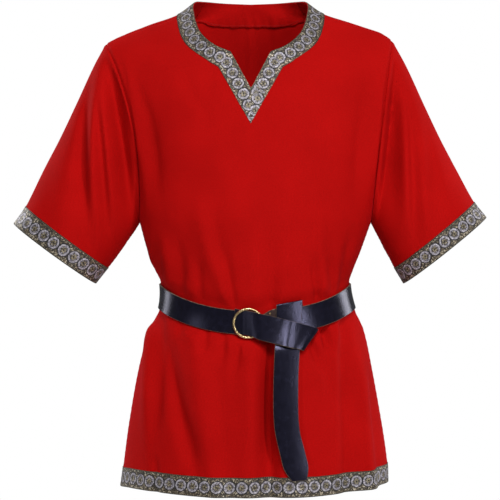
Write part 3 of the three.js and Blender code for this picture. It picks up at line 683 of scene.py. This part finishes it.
def ribbon():
    """Jacquard ribbon woven with metallic yarn: khaki-gold ground full of small silver tendrils and
    dark ticks, and a row of lavender-grey ringed medallions with a rosette, navy between them.
    All lengths in it are in mm."""
    material, tree, surface = new_material("metallic jacquard ribbon")
    node = partial(add, tree)
    flat = node("VectorMath:SCALE", node("UVMap", uv_map="cloth"), 1000.0)
    along, across, _ = node("SeparateXYZ", flat).outputs
    radius = 8.9                         # of a medallion
    everywhere = 40.0                    # more than any distance in the pattern

    def band(value, low, high, soft=0.25):
        """1 between low and high, 0 outside."""
        rise = node("MapRange", value, From_Min=low - soft, From_Max=low + soft)
        fall = node("MapRange", value, From_Min=high - soft, From_Max=high + soft, To_Min=1.0,
                    To_Max=0.0)
        return node("Math:MULTIPLY", rise, fall)

    def layered(base, *layers):
        """Lays colours over the base, each as far as its share says."""
        for share, shade in layers:
            base = node("Mix", share, base, shade, data_type="RGBA")
        return base

    x = node("Math:SUBTRACT", node("Math:WRAP", along, MEDALLION_PITCH, 0.0), MEDALLION_PITCH / 2)
    y = node("Math:SUBTRACT", across, TRIM_WIDTH / 2)
    r = node("Math:SQRT", node("Math:ADD", node("Math:MULTIPLY", x, x), node("Math:MULTIPLY", y, y)))
    turn = node("Math:ARCTAN2", y, x)
    edge = node("Math:ABSOLUTE", y)

    # Ground: tendrils are the contour lines of a noise with features of 2.9 mm.
    wander = node("TexNoise", Vector=flat, Scale=1 / 2.94, Detail=1.5, Roughness=0.6)
    wave = node("Math:PINGPONG", node("Math:MULTIPLY", wander, 9.0), 0.5)
    # Single metallic floats are 0.5 mm; the specks are drawn 1.6 mm across so that they still glint.
    speck = node("TexVoronoi", Vector=flat, Scale=1 / 1.613)
    glint = node("SeparateColor", speck.outputs["Color"]).outputs[0]
    ground = node("ValToRGB", glint, stops=((0.0, "#0a0807"), (0.38, "#221a13"), (0.6, "#463a29"),
                                            (0.8, "#82745d"), (1.0, "#e6dac2")))
    tendril = node("MapRange", wave, From_Min=0.3, From_Max=0.45)
    root = node("MapRange", wave, From_Min=0.12, From_Max=0.02)
    ground = layered(ground, (node("Math:MULTIPLY", tendril, 0.38), colour("#847b6c")),
                     (node("Math:MULTIPLY", root, 0.65), colour("#191612")))

    # Medallion: lavender ring, khaki rosette of six petals with a dark outline, grey disc.
    petal = node("Math:ABSOLUTE", node("Math:COSINE", node("Math:MULTIPLY", turn, 3.0)))
    inside = node("Math:SUBTRACT", node("Math:ADD", node("Math:MULTIPLY", petal, 2.9), 2.1), r)
    disc = node("ValToRGB", glint, stops=((0.0, "#2a2629"), (0.45, "#635d64"), (1.0, "#b4afb8")))
    flower = node("ValToRGB", glint, stops=((0.0, "#282118"), (0.5, "#665b44"), (1.0, "#b8ac91")))
    pale = node("ValToRGB", glint, stops=((0.0, "#5c575f"), (0.4, "#8b868f"), (1.0, "#cfcad2")))
    medallion = layered(disc, (band(inside, -0.7, 0.1, 0.2), colour("#262220")),
                        (band(inside, 0.1, everywhere, 0.2), flower),
                        (band(r, -everywhere, 1.3), colour("#211d1a")),
                        (band(r, 6.1, 8.8), pale),
                        (node("Math:MULTIPLY", band(r, 5.5, 6.1, 0.2), 0.6), colour("#2e2b31")))
    rim = node("Math:MULTIPLY", band(r, radius, radius + 1.3), 0.95)
    between = node("Math:MULTIPLY", band(edge, -everywhere, 4.2, 0.6), band(r, radius, 14.0))
    selvedge = band(edge, 13.6, everywhere, 0.2)
    pattern = layered(ground, (band(r, -everywhere, radius), medallion), (rim, colour("#121119")),
                      (between, colour("#10111a")), (selvedge, colour("#141110")))

    # Filling threads 0.6 mm apart, cut by warp threads 0.8 mm apart.
    weft = node("Math:SINE", node("Math:MULTIPLY", along, 2 * math.pi / 0.6))
    warp = node("Math:SINE", node("Math:MULTIPLY", across, 2 * math.pi / 0.8))
    threads = node("Math:MULTIPLY", weft, warp)
    shine = node("Math:ADD", node("Math:MULTIPLY", threads, 0.1), 1.0)
    raised = node("Math:MULTIPLY", band(r, 6.3, 8.5, 0.4), 0.8)
    for part, share in ((glint, 0.5), (threads, 0.25), (band(inside, 0.1, everywhere, 0.4), 0.5)):
        raised = node("Math:ADD", raised, node("Math:MULTIPLY", part, share))
    fill(tree, surface, Base_Color=node("HueSaturation", Color=pattern, Value=shine),
         Normal=node("Bump", Strength=0.4, Distance=0.0003, Height=raised),
         Roughness=node("MapRange", glint, To_Min=0.65, To_Max=0.45),
         Metallic=node("MapRange", glint, To_Min=0.05, To_Max=0.3))
    return material


def leather():
    """Vegetable-tanned cowhide dyed blue-black, waxed and polished: close grain, satin gloss."""
    material, tree, surface = new_material("black belt leather")
    place = add(tree, "TexCoord").outputs["Object"]
    # Pores lie 0.4 mm apart; they are drawn 1.5 mm apart so that the grain still shows.
    pores = add(tree, "TexVoronoi", Vector=place, Scale=per_metre(1.54), Randomness=1.0)
    # Wear in patches of 7 mm.
    wear = add(tree, "TexNoise", Vector=place, Scale=per_metre(7.14), Detail=5.0)
    shade = add(tree, "ValToRGB", wear, stops=((0.35, "#0e0d16"), (0.75, "#151421")))
    fill(tree, surface, Base_Color=shade,
         Roughness=add(tree, "MapRange", wear, From_Min=0.3, From_Max=0.7, To_Min=0.18, To_Max=0.22),
         Normal=add(tree, "Bump", Strength=0.3, Distance=0.0003, Height=pores),
         Specular_IOR_Level=0.42, Specular_Tint=colour("#d2d0ff"))
    return material


def plain(name, low, high, grain_size, rough, metal=0.0, depth=0.0002):
    """A finish of two near tones in small grains, their size in mm."""
    material, tree, surface = new_material(name)
    place = add(tree, "TexCoord").outputs["Object"]
    grain = add(tree, "TexNoise", Vector=place, Scale=per_metre(grain_size), Detail=4.0, Roughness=0.6)
    fill(tree, surface, Base_Color=add(tree, "ValToRGB", grain, stops=((0.3, low), (0.7, high))),
         Roughness=add(tree, "MapRange", grain, To_Min=rough + 0.08, To_Max=rough - 0.08),
         Normal=add(tree, "Bump", Strength=0.3, Distance=depth, Height=grain), Metallic=metal)
    return material


COTTON = cotton()
JACQUARD = ribbon()
LEATHER = leather()
# Cut edges of the belt, left undyed: pale tan, matt and fibrous.
RAW_EDGE = plain("raw leather edge", "#2c241e", "#8a7662", 3.33, 0.75)
# The belt's flesh side: brown, rough, napped.
FLESH = plain("leather flesh side", "#1f0f0d", "#371a16", 1.43, 0.8)
# Solid brass, cast, tumbled and lightly tarnished.
BRASS = plain("tumbled brass", "#a88d5c", "#dcc798", 3.85, 0.28, 1.0, 0.00005)
# The ribbon's back: khaki floats, matt.
RIBBON_BACK = plain("ribbon back", "#5a5346", "#7d7462", 1.11, 0.7)
# Spun polyester sewing threads, fine and dull.
GOLD_THREAD = plain("khaki sewing thread", "#6e6550", "#a0957a", 0.67, 0.6)
RED_THREAD = plain("red sewing thread", "#8c0c0e", "#b01417", 0.67, 0.65)
# Outside, inside and rim of each kind of piece.
CLOTH_LOOKS = (COTTON, COTTON, COTTON)
TRIM_LOOKS = (JACQUARD, RIBBON_BACK, RIBBON_BACK)
LEATHER_LOOKS = (LEATHER, FLESH, RAW_EDGE)

# ------------------------------------------------------------------ cloth pieces
# The grids' steps lie closer together beside the seams.
U_STEPS = np.concatenate([[0, 0.004, 0.009, 0.015, 0.022, 0.03], np.linspace(0.04, 1, 84)])
SKIRT_STEPS = np.unique(np.concatenate([np.linspace(0, 1, 148), [TRIM_WIDTH / (ARMPIT - HEM)]]))
FRONT_YOKE = np.concatenate([np.linspace(0, V_TIP, 50)[1:], np.linspace(V_TIP, V_CORNER, 16)[1:],
                             np.linspace(V_CORNER, 0.985, 30)[1:], [0.991, 0.996, 1]])
BACK_YOKE = np.concatenate([np.linspace(0, BACK_NECK, 66)[1:], np.linspace(BACK_NECK, 0.985, 20)[1:],
                            [0.991, 0.996, 1]])


def panel_half(side, face, us, vs):
    """One half of a panel, with half of the seam's gap left along its sewn edges."""
    u, v = np.meshgrid(us, vs)
    grid = panel_point(side, face, u, v)
    upper = vs > 1
    grid[upper, 0] += seam_plane(side) * SEAM / 2
    grid[~upper, 0, 1] = face * SEAM / 2
    if vs[-1] == 2:
        grid[-1, :, 1] = face * SEAM / 2
    from_seam = travel(grid, 1)
    along = side * (from_seam[:, -1:] - from_seam)
    up = travel(grid[:, -1])[:, None] + 0 * along
    return sheet_of(grid, side * face < 0, np.stack([along, up], -1))


def seam_roll(distance, along):
    """A sewn seam sinks the cloth 1.5 mm at its line, lifts it beside the line and puckers it every
    9.5 mm."""
    pucker = np.sin(along * 2 * math.pi / 9.5 + 1.5 * np.sin(along / 23))
    return (-1.5 * np.exp(-((distance / 2.4) ** 2)) + 0.4 * np.exp(-(((distance - 5.5) / 2.8) ** 2))
            + 0.22 * pucker * np.exp(-(((distance - 3.5) / 4.5) ** 2)))


def nearest_seam(p, face):
    """Distance in mm of points on a panel from its side, armhole and shoulder seams."""
    side = np.where(p[:, 0] < 5, -1, 1)
    gap = np.where(p[:, 2] < ARMPIT, np.abs(p[:, 1]), FAR)
    for s in (-1, 1):
        ring = armhole_point(s, face, np.linspace(0, 1, 240))
        mine = (side == s) & (p[:, 2] > ARMPIT - 12)
        far = np.linalg.norm(p[mine][:, None] - ring[None], axis=-1).min(1)
        gap[mine] = np.minimum(gap[mine], far)
    top = p[:, 2] > -60
    gap[top] = np.minimum(gap[top], np.abs(p[top, 1]))
    return gap


def at_side_seam(normals, p):
    """At the side seam the cut edges of front and back stay parallel."""
    normals[np.abs(p[:, 1]) < SEAM, 1] = 0
    return normals


def at_armhole(normals, p, face):
    """At the armhole the cut edges of panel and sleeve stay parallel."""
    for side in (-1, 1):
        top, low = armhole(side)
        half = np.linalg.norm(top - low) / 2
        along = (top - low) / (2 * half)
        local = p - (top + low) / 2
        height = local @ along
        across = np.abs(local @ seam_plane(side) - ARMHOLE_SWAY[side] * (p[:, 1] / ARMHOLE_DEPTH) ** 2)
        ring = np.abs((height / half) ** 2 + (p[:, 1] / ARMHOLE_DEPTH) ** 2 - 1) < 0.06
        on_ring = ring & (across < 2 * SEAM)
        y = np.where((face != 0) & (np.abs(p[:, 1]) < SEAM), 0, p[:, 1] / ARMHOLE_DEPTH**2)
        radial = along * (height / half**2)[:, None] + points(0, y, 0)
        normals[on_ring] = radial[on_ring]
    return normals


def make_panel(name, face, yoke, node):
    """The front or back panel, with the skin that ribbons are laid on."""
    levels = np.concatenate([SKIRT_STEPS, 1 + yoke])
    halves = [panel_half(side, face, U_STEPS, levels) for side in (-1, 1)]
    settle = lambda n, p: at_armhole(at_side_seam(n, p), p, face)
    shape = lambda p, cloth: seam_roll(nearest_seam(p, face), p[:, 2] + np.abs(p[:, 0]) * 0.6)
    piece, skin = shell(name, halves, -CLOTH, 0, CLOTH_LOOKS, settle, shape, 0.2)
    belongs(piece, node)
    return piece, skin


front_cloth, front_skin = make_panel("front_cloth", -1, FRONT_YOKE, "front_panel")
back_cloth, back_skin = make_panel("back_cloth", 1, BACK_YOKE, "back_panel")

SLEEVE_U = np.linspace(0, 1, 197)
SLEEVE_V = np.concatenate([[0, 0.006, 0.013, 0.021, 0.031], np.linspace(0.042, 1, 78)])


def sleeve_sheet(side, us, vs):
    """A sleeve's sheet between these shares of its length, closed all round."""
    u, v = np.meshgrid(us, vs)
    grid = sleeve_point(side, u % 1, v)
    grid[vs == 0] -= seam_plane(side) * SEAM / 2
    along = travel(grid, 1)
    up = travel(grid[:, len(us) // 2])[:, None] + 0 * along
    return sheet_of(grid, side > 0, np.stack([along, up], -1))


def make_sleeve(word, side):
    """A sleeve, rolled along the armhole's seam and the seam under the arm."""
    sheet = sleeve_sheet(side, SLEEVE_U, SLEEVE_V)
    settle = lambda n, p: at_armhole(n, p, 0)

    def shape(p, cloth):
        under_arm = np.where((np.abs(p[:, 1]) < 25) & (p[:, 2] < -300), np.abs(p[:, 1]), FAR)
        return seam_roll(np.minimum(cloth[:, 1], under_arm), cloth.sum(1))

    piece, _ = shell(f"sleeve_cloth_{word}", [sheet], -CLOTH, 0, CLOTH_LOOKS, settle, shape, 0.2)
    return belongs(piece, f"sleeve_{word}")


sleeves = {side: make_sleeve(word, side) for word, side in SIDES}


# ------------------------------------------------------------------ ribbons and their stitching
def tube_faces(rings, around):
    """The quads between rings of points, each ring with this many points around."""
    index = np.arange(rings * around).reshape(rings, around)
    after = np.roll(index, -1, axis=1)
    return np.stack([index[:-1], after[:-1], after[1:], index[1:]], -1).reshape(-1, 4)


def stitch_row(path, normals, gap=3.4, length=2.5, thick=0.55, rings=5, around=6):
    """Small oval stitches along a line of points, as spots and faces."""
    arc = travel(path)
    centres = np.arange(gap, arc[-1] - gap / 2, gap)

    def at(values, places):
        return np.stack([np.interp(places, arc, values[:, i]) for i in range(3)], -1)

    up = unit(at(normals, centres))
    ahead = unit(at(path, centres + 0.5) - at(path, centres - 0.5))
    across = np.cross(up, ahead)
    s = np.linspace(-1, 1, rings)[:, None, None, None]
    turn = (2 * math.pi * np.arange(around) / around)[:, None, None]
    wide = thick * np.sqrt(1 - s * s * 0.92) / 2
    spots = (at(path, centres) + ahead * s * length / 2 + across * wide * np.cos(turn)
             + up * (wide * np.sin(turn) + thick * 0.1))
    spots = np.moveaxis(spots.reshape(rings * around, -1, 3), 0, 1)
    number = (np.arange(len(centres)) * rings * around)[:, None, None]
    return spots.reshape(-1, 3), (tube_faces(rings, around) + number).reshape(-1, 4)


def make_stitches(name, rows, look):
    """All stitches of some rows, as one piece."""
    spots, faces, start = [], [], 0
    for row_spots, row_faces in rows:
        spots.append(row_spots)
        faces.append(row_faces + start)
        start += len(row_spots)
    faces = np.concatenate(faces)
    piece = make_piece(name, np.concatenate(spots), faces, None, np.zeros(len(faces), int), (look,), 180)


def edge_stitches(grid, flip, lift, rows_share=(0.045, 0.955)):
    """Stitch lines near both long edges of a ribbon whose rows run across it."""
    along_d = np.gradient(grid, axis=1)
    across_d = np.gradient(grid, axis=0)
    normals = unit(np.cross(along_d, across_d)) * (-1 if flip else 1)
    made = []
    for share in rows_share:
        at = share * (len(grid) - 1)
        low = min(int(at), len(grid) - 2)
        t = at - low
        line = grid[low] * (1 - t) + grid[low + 1] * t
        up = unit(normals[low] * (1 - t) + normals[low + 1] * t)
        made.append(stitch_row(line + up * lift, up))
    return made


RIBBON_TOP = RIBBON_GAP + RIBBON
# Where one medallion's middle lies: x on the hems and on the cuffs, x and z on the neck's bands.
HEM_MEDALLION = 6.9
CUFF_MEDALLION = {-1: -308, 1: 305}
NECK_MEDALLION = (61, -64.6)
SLIT_MEDALLION = (20.1, -116.4)
BACK_MEDALLION = (1, 14)


def ribbon_cloth(grid, anchor_x, face=-1):
    """Coordinates along and across a ribbon, set so that a medallion's middle lies at anchor_x."""
    middle = grid[len(grid) // 2]
    arc = travel(middle)
    nearest = np.argmin(np.abs(middle[:, 0] - anchor_x) + (middle[:, 1] * face < 0) * FAR)
    slope = middle[min(nearest + 1, len(middle) - 1), 0] - middle[nearest, 0]
    step = arc[min(nearest + 1, len(arc) - 1)] - arc[nearest]
    at = arc[nearest] + (anchor_x - middle[nearest, 0]) / slope * step if slope else arc[nearest]
    across = np.linspace(0, TRIM_WIDTH, len(grid))
    return np.stack(np.meshgrid(arc - at + MEDALLION_PITCH / 2, across), -1)


def make_hem(name, face, node):
    """The ribbon along one panel's hem, with its stitches still to be made."""
    us = np.concatenate([[0, 0.004, 0.01, 0.02], np.linspace(0.032, 1, 120)])
    vs = np.linspace(0, TRIM_WIDTH / (ARMPIT - HEM), 12)
    left, right = (panel_half(side, face, us, vs) for side in (-1, 1))
    grid = np.concatenate([left["points"], right["points"][:, -2::-1]], 1)
    flip = left["flip"]
    cloth = ribbon_cloth(grid, HEM_MEDALLION, face)
    shape = lambda p, c: 0.7 * seam_roll(nearest_seam(p, face), p[:, 2])
    piece, _ = shell(name, [sheet_of(grid, flip, cloth)], RIBBON_GAP, RIBBON_TOP, TRIM_LOOKS,
                     at_side_seam, shape, bulge=0.15)
    belongs(piece, node)
    return piece, edge_stitches(grid, flip, RIBBON_TOP)


hem_front, hem_rows = make_hem("hem_ribbon_front", -1, "hem_trim_front")
hem_back, more_rows = make_hem("hem_ribbon_back", 1, "hem_trim_back")
make_stitches("hem_stitches", hem_rows + more_rows, GOLD_THREAD)


def make_cuff(word, side):
    """The ribbon round a cuff, and its stitches."""
    vs = np.linspace(CUFF_TOP, 1, 12)
    sheet = sleeve_sheet(side, np.linspace(0, 1, 241), vs)
    grid = sheet["points"]
    sheet["cloth"] = ribbon_cloth(grid, CUFF_MEDALLION[side])
    piece, _ = shell(f"cuff_ribbon_{word}", [sheet], RIBBON_GAP, RIBBON_TOP, TRIM_LOOKS, bulge=0.15)
    belongs(piece, f"cuff_trim_{word}")
    make_stitches(f"cuff_stitches_{word}", edge_stitches(grid, sheet["flip"], RIBBON_TOP), GOLD_THREAD)
    return piece


cuffs = {side: make_cuff(word, side) for word, side in SIDES}


def settle_on(skin, grid):
    """Moves a grid's points to the nearest places on a cloth's outer skin."""
    spots, quads = skin
    tree = BVHTree.FromPolygons(spots.tolist(), quads.tolist())
    flat = grid.reshape(-1, 3)
    return np.array([tree.find_nearest(Vector(p))[0] for p in flat.tolist()]).reshape(grid.shape)


def neck_band(skin, side, face, table, count, columns, spread, low, high):
    """A grid on the cloth from the neck's edge outwards, its rows along the edge."""
    at = np.linspace(low, high, count)
    inner = neck_point(side, table, at)
    outer = inner + (trim_point(side, table, at) - inner) * spread
    share = np.linspace(0, 1, columns)[None, :, None]
    grid = settle_on(skin, inner[:, None] * (1 - share) + outer[:, None] * share)
    if high == 1 and table is not SLIT:
        grid[-1, :, 1] = face * SEAM / 2
    return np.swapaxes(grid, 0, 1)


def mitred_cloth(grid, anchor_x, anchor_z):
    """Coordinates along and across the middle line of straight ribbon, for a band cut at a slant. A
    medallion's middle lies at the place on the line nearest to the anchor."""
    inner, outer = grid[0], grid[-1]
    ahead = unit(np.gradient(inner, axis=0))
    across = outer - inner
    across -= (across * ahead).sum(-1, keepdims=True) * ahead
    width = np.median(np.linalg.norm(across, axis=-1))
    across = unit(across)
    line = inner + across * width / 2
    # The line runs on past both ends of the band, in steps of 1 mm.
    more = 40
    far = np.linspace(more, 1, more)[:, None]
    line = np.concatenate([line[0] - ahead[0] * far, line, line[-1] + ahead[-1] * far[::-1]])
    ahead, across = (np.concatenate([v[:1]] * more + [v] + [v[-1:]] * more) for v in (ahead, across))
    arc = travel(line)
    away = grid[:, :, None] - line
    nearest = np.linalg.norm(away, axis=-1).argmin(-1)
    away = np.take_along_axis(away, nearest[..., None, None], 2)[:, :, 0]
    along = arc[nearest] + (away * ahead[nearest]).sum(-1)
    aside = (away * across[nearest]).sum(-1)
    anchor = np.hypot(line[:, 0] - anchor_x, line[:, 2] - anchor_z).argmin()
    return np.stack([along - arc[anchor] + MEDALLION_PITCH / 2, TRIM_WIDTH / 2 + aside], -1)


NECK_LIFT = 0.35          # between the cloth and the ribbons that are settled on it
for word, side in SIDES:
    rows = []
    for part, table, low, high, count, place in (("neck", ROUND_FRONT, 0.002, 1, 78, NECK_MEDALLION),
                                                 ("slit", SLIT, 0.0, 0.998, 44, SLIT_MEDALLION)):
        grid = neck_band(front_skin, side, -1, table, count, 13, 1, low, high)
        if part == "slit":
            grid[:, 0, 0] += side * SEAM / 2
        flip = side > 0
        sheet = sheet_of(grid, flip, mitred_cloth(grid, side * place[0], place[1]))
        piece, _ = shell(f"{part}_ribbon_{word}", [sheet], NECK_LIFT, NECK_LIFT + RIBBON, TRIM_LOOKS,
                         at_side_seam if part == "neck" else None, bulge=0.15)
        belongs(piece, f"{part}_trim_{word}")
        rows += edge_stitches(grid, flip, NECK_LIFT + RIBBON)
    make_stitches(f"neck_stitches_{word}", rows, GOLD_THREAD)


def back_neck_band(count, columns, spread, high):
    """A band round the back neck, from left to right."""
    left, right = (neck_band(back_skin, side, 1, ROUND_BACK, count, columns, spread, 0, high)
                   for side in (-1, 1))
    return np.concatenate([left[:, ::-1], right[:, 1:]], 1)


grid = back_neck_band(90, 13, 1, 1)
sheet = sheet_of(grid, False, mitred_cloth(grid, *BACK_MEDALLION))
back_ribbon, _ = shell("neck_ribbon_back", [sheet], NECK_LIFT, NECK_LIFT + RIBBON, TRIM_LOOKS,
                       at_side_seam, bulge=0.15)
belongs(back_ribbon, "neck_trim_back")
make_stitches("neck_stitches_back", edge_stitches(grid, False, NECK_LIFT + RIBBON), GOLD_THREAD)


def facing_puckers(p, cloth):
    """The facing hangs a little free and puckers more and more down to its stitched edge."""
    down = smooth(cloth[:, 1] / 36, 0.2, 0.9)
    waves = np.sin(p[:, 0] / 4.1 + 1.7 * np.sin(p[:, 0] / 15)) + 0.6 * np.sin(p[:, 0] / 2.3 + p[:, 2] / 9)
    return -0.8 + 0.5 * waves * down - 0.4 * down


# Facing inside the back neck: the red cloth turned in.
grid = back_neck_band(66, 16, 1.2, 0.66)
facing, _ = shell("neck_facing", [sheet_of(grid, False)], -CLOTH - 1.7, -CLOTH - 0.9, CLOTH_LOOKS,
                  shape=facing_puckers, bulge=0.15)
belongs(facing, "back_neck_facing")
make_stitches("facing_stitches", edge_stitches(grid, True, CLOTH + 3.6, (0.93,)), RED_THREAD)


# ------------------------------------------------------------------ belt
def make_leather(name, grid, inner, outer, node):
    """A stretch of the belt, grain side out, with its raw edges a little rounded."""
    piece, _ = shell(name, [sheet_of(grid, False)], inner, outer, LEATHER_LOOKS, bulge=0.6, crease=30)
    belongs(piece, node)


def strap_grid():
    """The strap from the ring round the left side and the back to its end under the tail."""
    levels = np.linspace(BELT_LEVEL - BELT_WIDTH / 2, BELT_LEVEL + BELT_WIDTH / 2, 15)
    legs = ((-1, -1, np.linspace(STRAP_START, 0, 90)), (-1, 1, np.linspace(0, 1, 100)[1:]),
            (1, 1, np.linspace(1, 0, 100)[1:]), (1, -1, np.linspace(0, STRAP_END, 80)[1:]))
    grid = []
    for side, face, us in legs:
        u, level = np.meshgrid(us, levels, indexing="ij")
        lift = BELT_LIFT * smooth(u, 0.25, 0.6) if side > 0 and face < 0 else 0
        angle = u * math.pi / 2
        outward = points(side * np.cos(angle), face * np.sin(angle), 0)
        grid.append(body_point(side, face, u, level) + outward * (BELT_REST + lift + 0 * u)[..., None])
    return np.concatenate(grid)


make_leather("strap_leather", strap_grid(), 0, BELT_THICK, "belt_strap")


def strip(table, along, across):
    """A stretch of strap along a table's rows. Leather stays straight across its width over a hollow."""
    numbered = [(i, *row) for i, row in enumerate(table)]
    at = np.linspace(0, len(table) - 1, along)
    x, z, low_x, low_z, out = read(numbered, at)
    w = np.linspace(0, 1, across)[None]
    p = belt_point(x[:, None] + (low_x - x)[:, None] * w, z[:, None] + (low_z - z)[:, None] * w,
                   out[:, None] + 0 * w)
    p[..., 1] = np.minimum(p[..., 1], p[:, :1, 1] * (1 - w) + p[:, -1:, 1] * w)
    return p


make_leather("pass_leather", strip(PASS, 240, 15), -BELT_THICK / 2, BELT_THICK / 2, "belt_pass")
make_leather("tail_leather", strip(TAIL, 200, 15), -BELT_THICK / 2, BELT_THICK / 2, "belt_tail")


def end_fold_grid():
    """The strap's end: a leg behind, a turn round the ring's right side and a leg in front."""
    strap_out = BELT_REST + BELT_LIFT + BELT_THICK / 2
    flap_out = strap_out + BELT_THICK + SEAM
    turn_start, turn_end = 0.35, 0.75
    t = np.linspace(0, 1, 110)[:, None]
    side = np.linspace(-1, 1, 15)[None]
    s = t / turn_start
    ring_half = side * FOLD_HALF
    edge = RING_X + np.sqrt(RING_RADIUS**2 - ring_half**2)
    height = side * (FOLD_WIDE + (FOLD_HALF - FOLD_WIDE) * smooth(s, 0.45, 1))
    back_out = strap_out + (RING_OUT - FOLD_RISE - strap_out) * smooth(s, 0.45, 1)
    back = (FOLD_BACK + (edge - FOLD_BACK) * s, RING_Z + height + (1 - s) * 3.5, back_out)
    turn = np.clip((t - turn_start) / (turn_end - turn_start), 0, 1) * math.pi
    s = np.clip((t - turn_end) / (1 - turn_end), 0, 1)
    bend = edge - FOLD_APEX * np.sin(turn)
    out = RING_OUT - FOLD_RISE * np.cos(turn)
    flare = side * (FOLD_WIDE - FOLD_HALF) * smooth(s, 0.1, 0.75)
    front = (bend + (FOLD_FRONT - bend) * s, RING_Z + ring_half + flare + 0.5 * s,
             out + (flap_out - out) * smooth(s, 0, 0.9))
    return belt_point(*(np.where(t < turn_start, a, b + 0 * side) for a, b in zip(back, front)))


make_leather("end_fold_leather", end_fold_grid(), -BELT_THICK / 2, BELT_THICK / 2, "belt_end_fold")


def make_rivet(x, z, out, radius, rise, rings=9, around=28):
    """A domed rivet head on the belt."""
    middle = belt_point(x, z, out)
    aim = unit(belt_point(x, z, out + 1) - middle)
    across = unit(np.cross(aim, (0, 0, 1)))
    turn = np.linspace(0, 2 * math.pi, around, endpoint=False)[None, :, None]
    slope = np.linspace(math.pi / 2, 0, rings)[:, None, None]
    rim = across * np.cos(turn) + np.cross(across, aim) * np.sin(turn)
    spots = middle + rim * np.sin(slope) * radius + aim * np.cos(slope) * rise
    faces = tube_faces(rings, around)
    piece = make_piece("rivet", spots.reshape(-1, 3), faces, None, np.zeros(len(faces), int), (BRASS,), 60)


make_rivet(30.5, -470.7, BELT_REST + BELT_LIFT + 2 * BELT_THICK + SEAM, 1.9, 1.2)

lean = belt_point(RING_X, RING_Z + RING_RADIUS, 0) - belt_point(RING_X, RING_Z - RING_RADIUS, 0)
ring_middle = belt_point(RING_X, RING_Z, RING_OUT)
bpy.ops.mesh.primitive_torus_add(major_segments=160, minor_segments=28, major_radius=RING_RADIUS / 1000,
                                 minor_radius=RING_WIRE / 1000)
ring = bpy.context.object
ring.name = "ring_brass"
ring.data.transform(Matrix.Rotation(math.pi / 2 - math.atan2(lean[1], lean[2]), 4, "X"))
ring.data.transform(Matrix.Translation(Vector(ring_middle / 1000)))
ring.data.materials.append(BRASS)
ring.data.polygons.foreach_set("use_smooth", np.ones(len(ring.data.polygons), bool))
belongs(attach(ring, "root"), "belt_ring")

# ------------------------------------------------------------------ floor, light, backdrop
world = bpy.data.worlds.new("studio")
bpy.context.scene.world = world
world.use_nodes = True
studio = world.node_tree
# White to the camera, and a weak light from all around.
seen = add(studio, "LightPath").outputs["Is Camera Ray"]
fill(studio, studio.nodes["Background"], Color=(1, 1, 1, 1),
     Strength=add(studio, "MapRange", seen, To_Min=0.12, To_Max=1.0))

bpy.ops.mesh.primitive_plane_add(size=3.5, location=(0, 0, -1.45))
floor = bpy.context.object
floor.name = "floor"
floor.data.materials.append(plain("pale floor", "#e8e8e8", "#f2f2f2", 500, 0.8))


def softbox(name, place, size, power, target=(0, 0, -0.4)):
    """A rectangular lamp turned to the target, in metres and watts."""
    lamp = bpy.data.objects.new(name, bpy.data.lights.new(name, "AREA"))
    lamp.data.shape = "RECTANGLE"
    lamp.data.size, lamp.data.size_y = size
    lamp.data.energy = power
    lamp.location = place
    lamp.rotation_euler = (Vector(target) - Vector(place)).to_track_quat("-Z", "Y").to_euler()
    bpy.context.collection.objects.link(lamp)


softbox("key", (0.1, -2.3, 1.55), (1.1, 0.8), 50)
softbox("fill", (-2.2, -1.9, 0.5), (0.7, 1.2), 4)
softbox("back", (-2.3, 1.7, 1.3), (0.8, 0.8), 46, (0, 0, -0.35))
softbox("tall_strip", (1.5, -2.3, 0.6), (0.16, 2.4), 34)
softbox("left_strip", (-1.7, 0.7, 0.0), (0.5, 1.6), 10)
softbox("right_strip", (1.7, 0.7, 0.0), (0.5, 1.6), 17)

bpy.context.scene.view_settings.view_transform = "Standard"
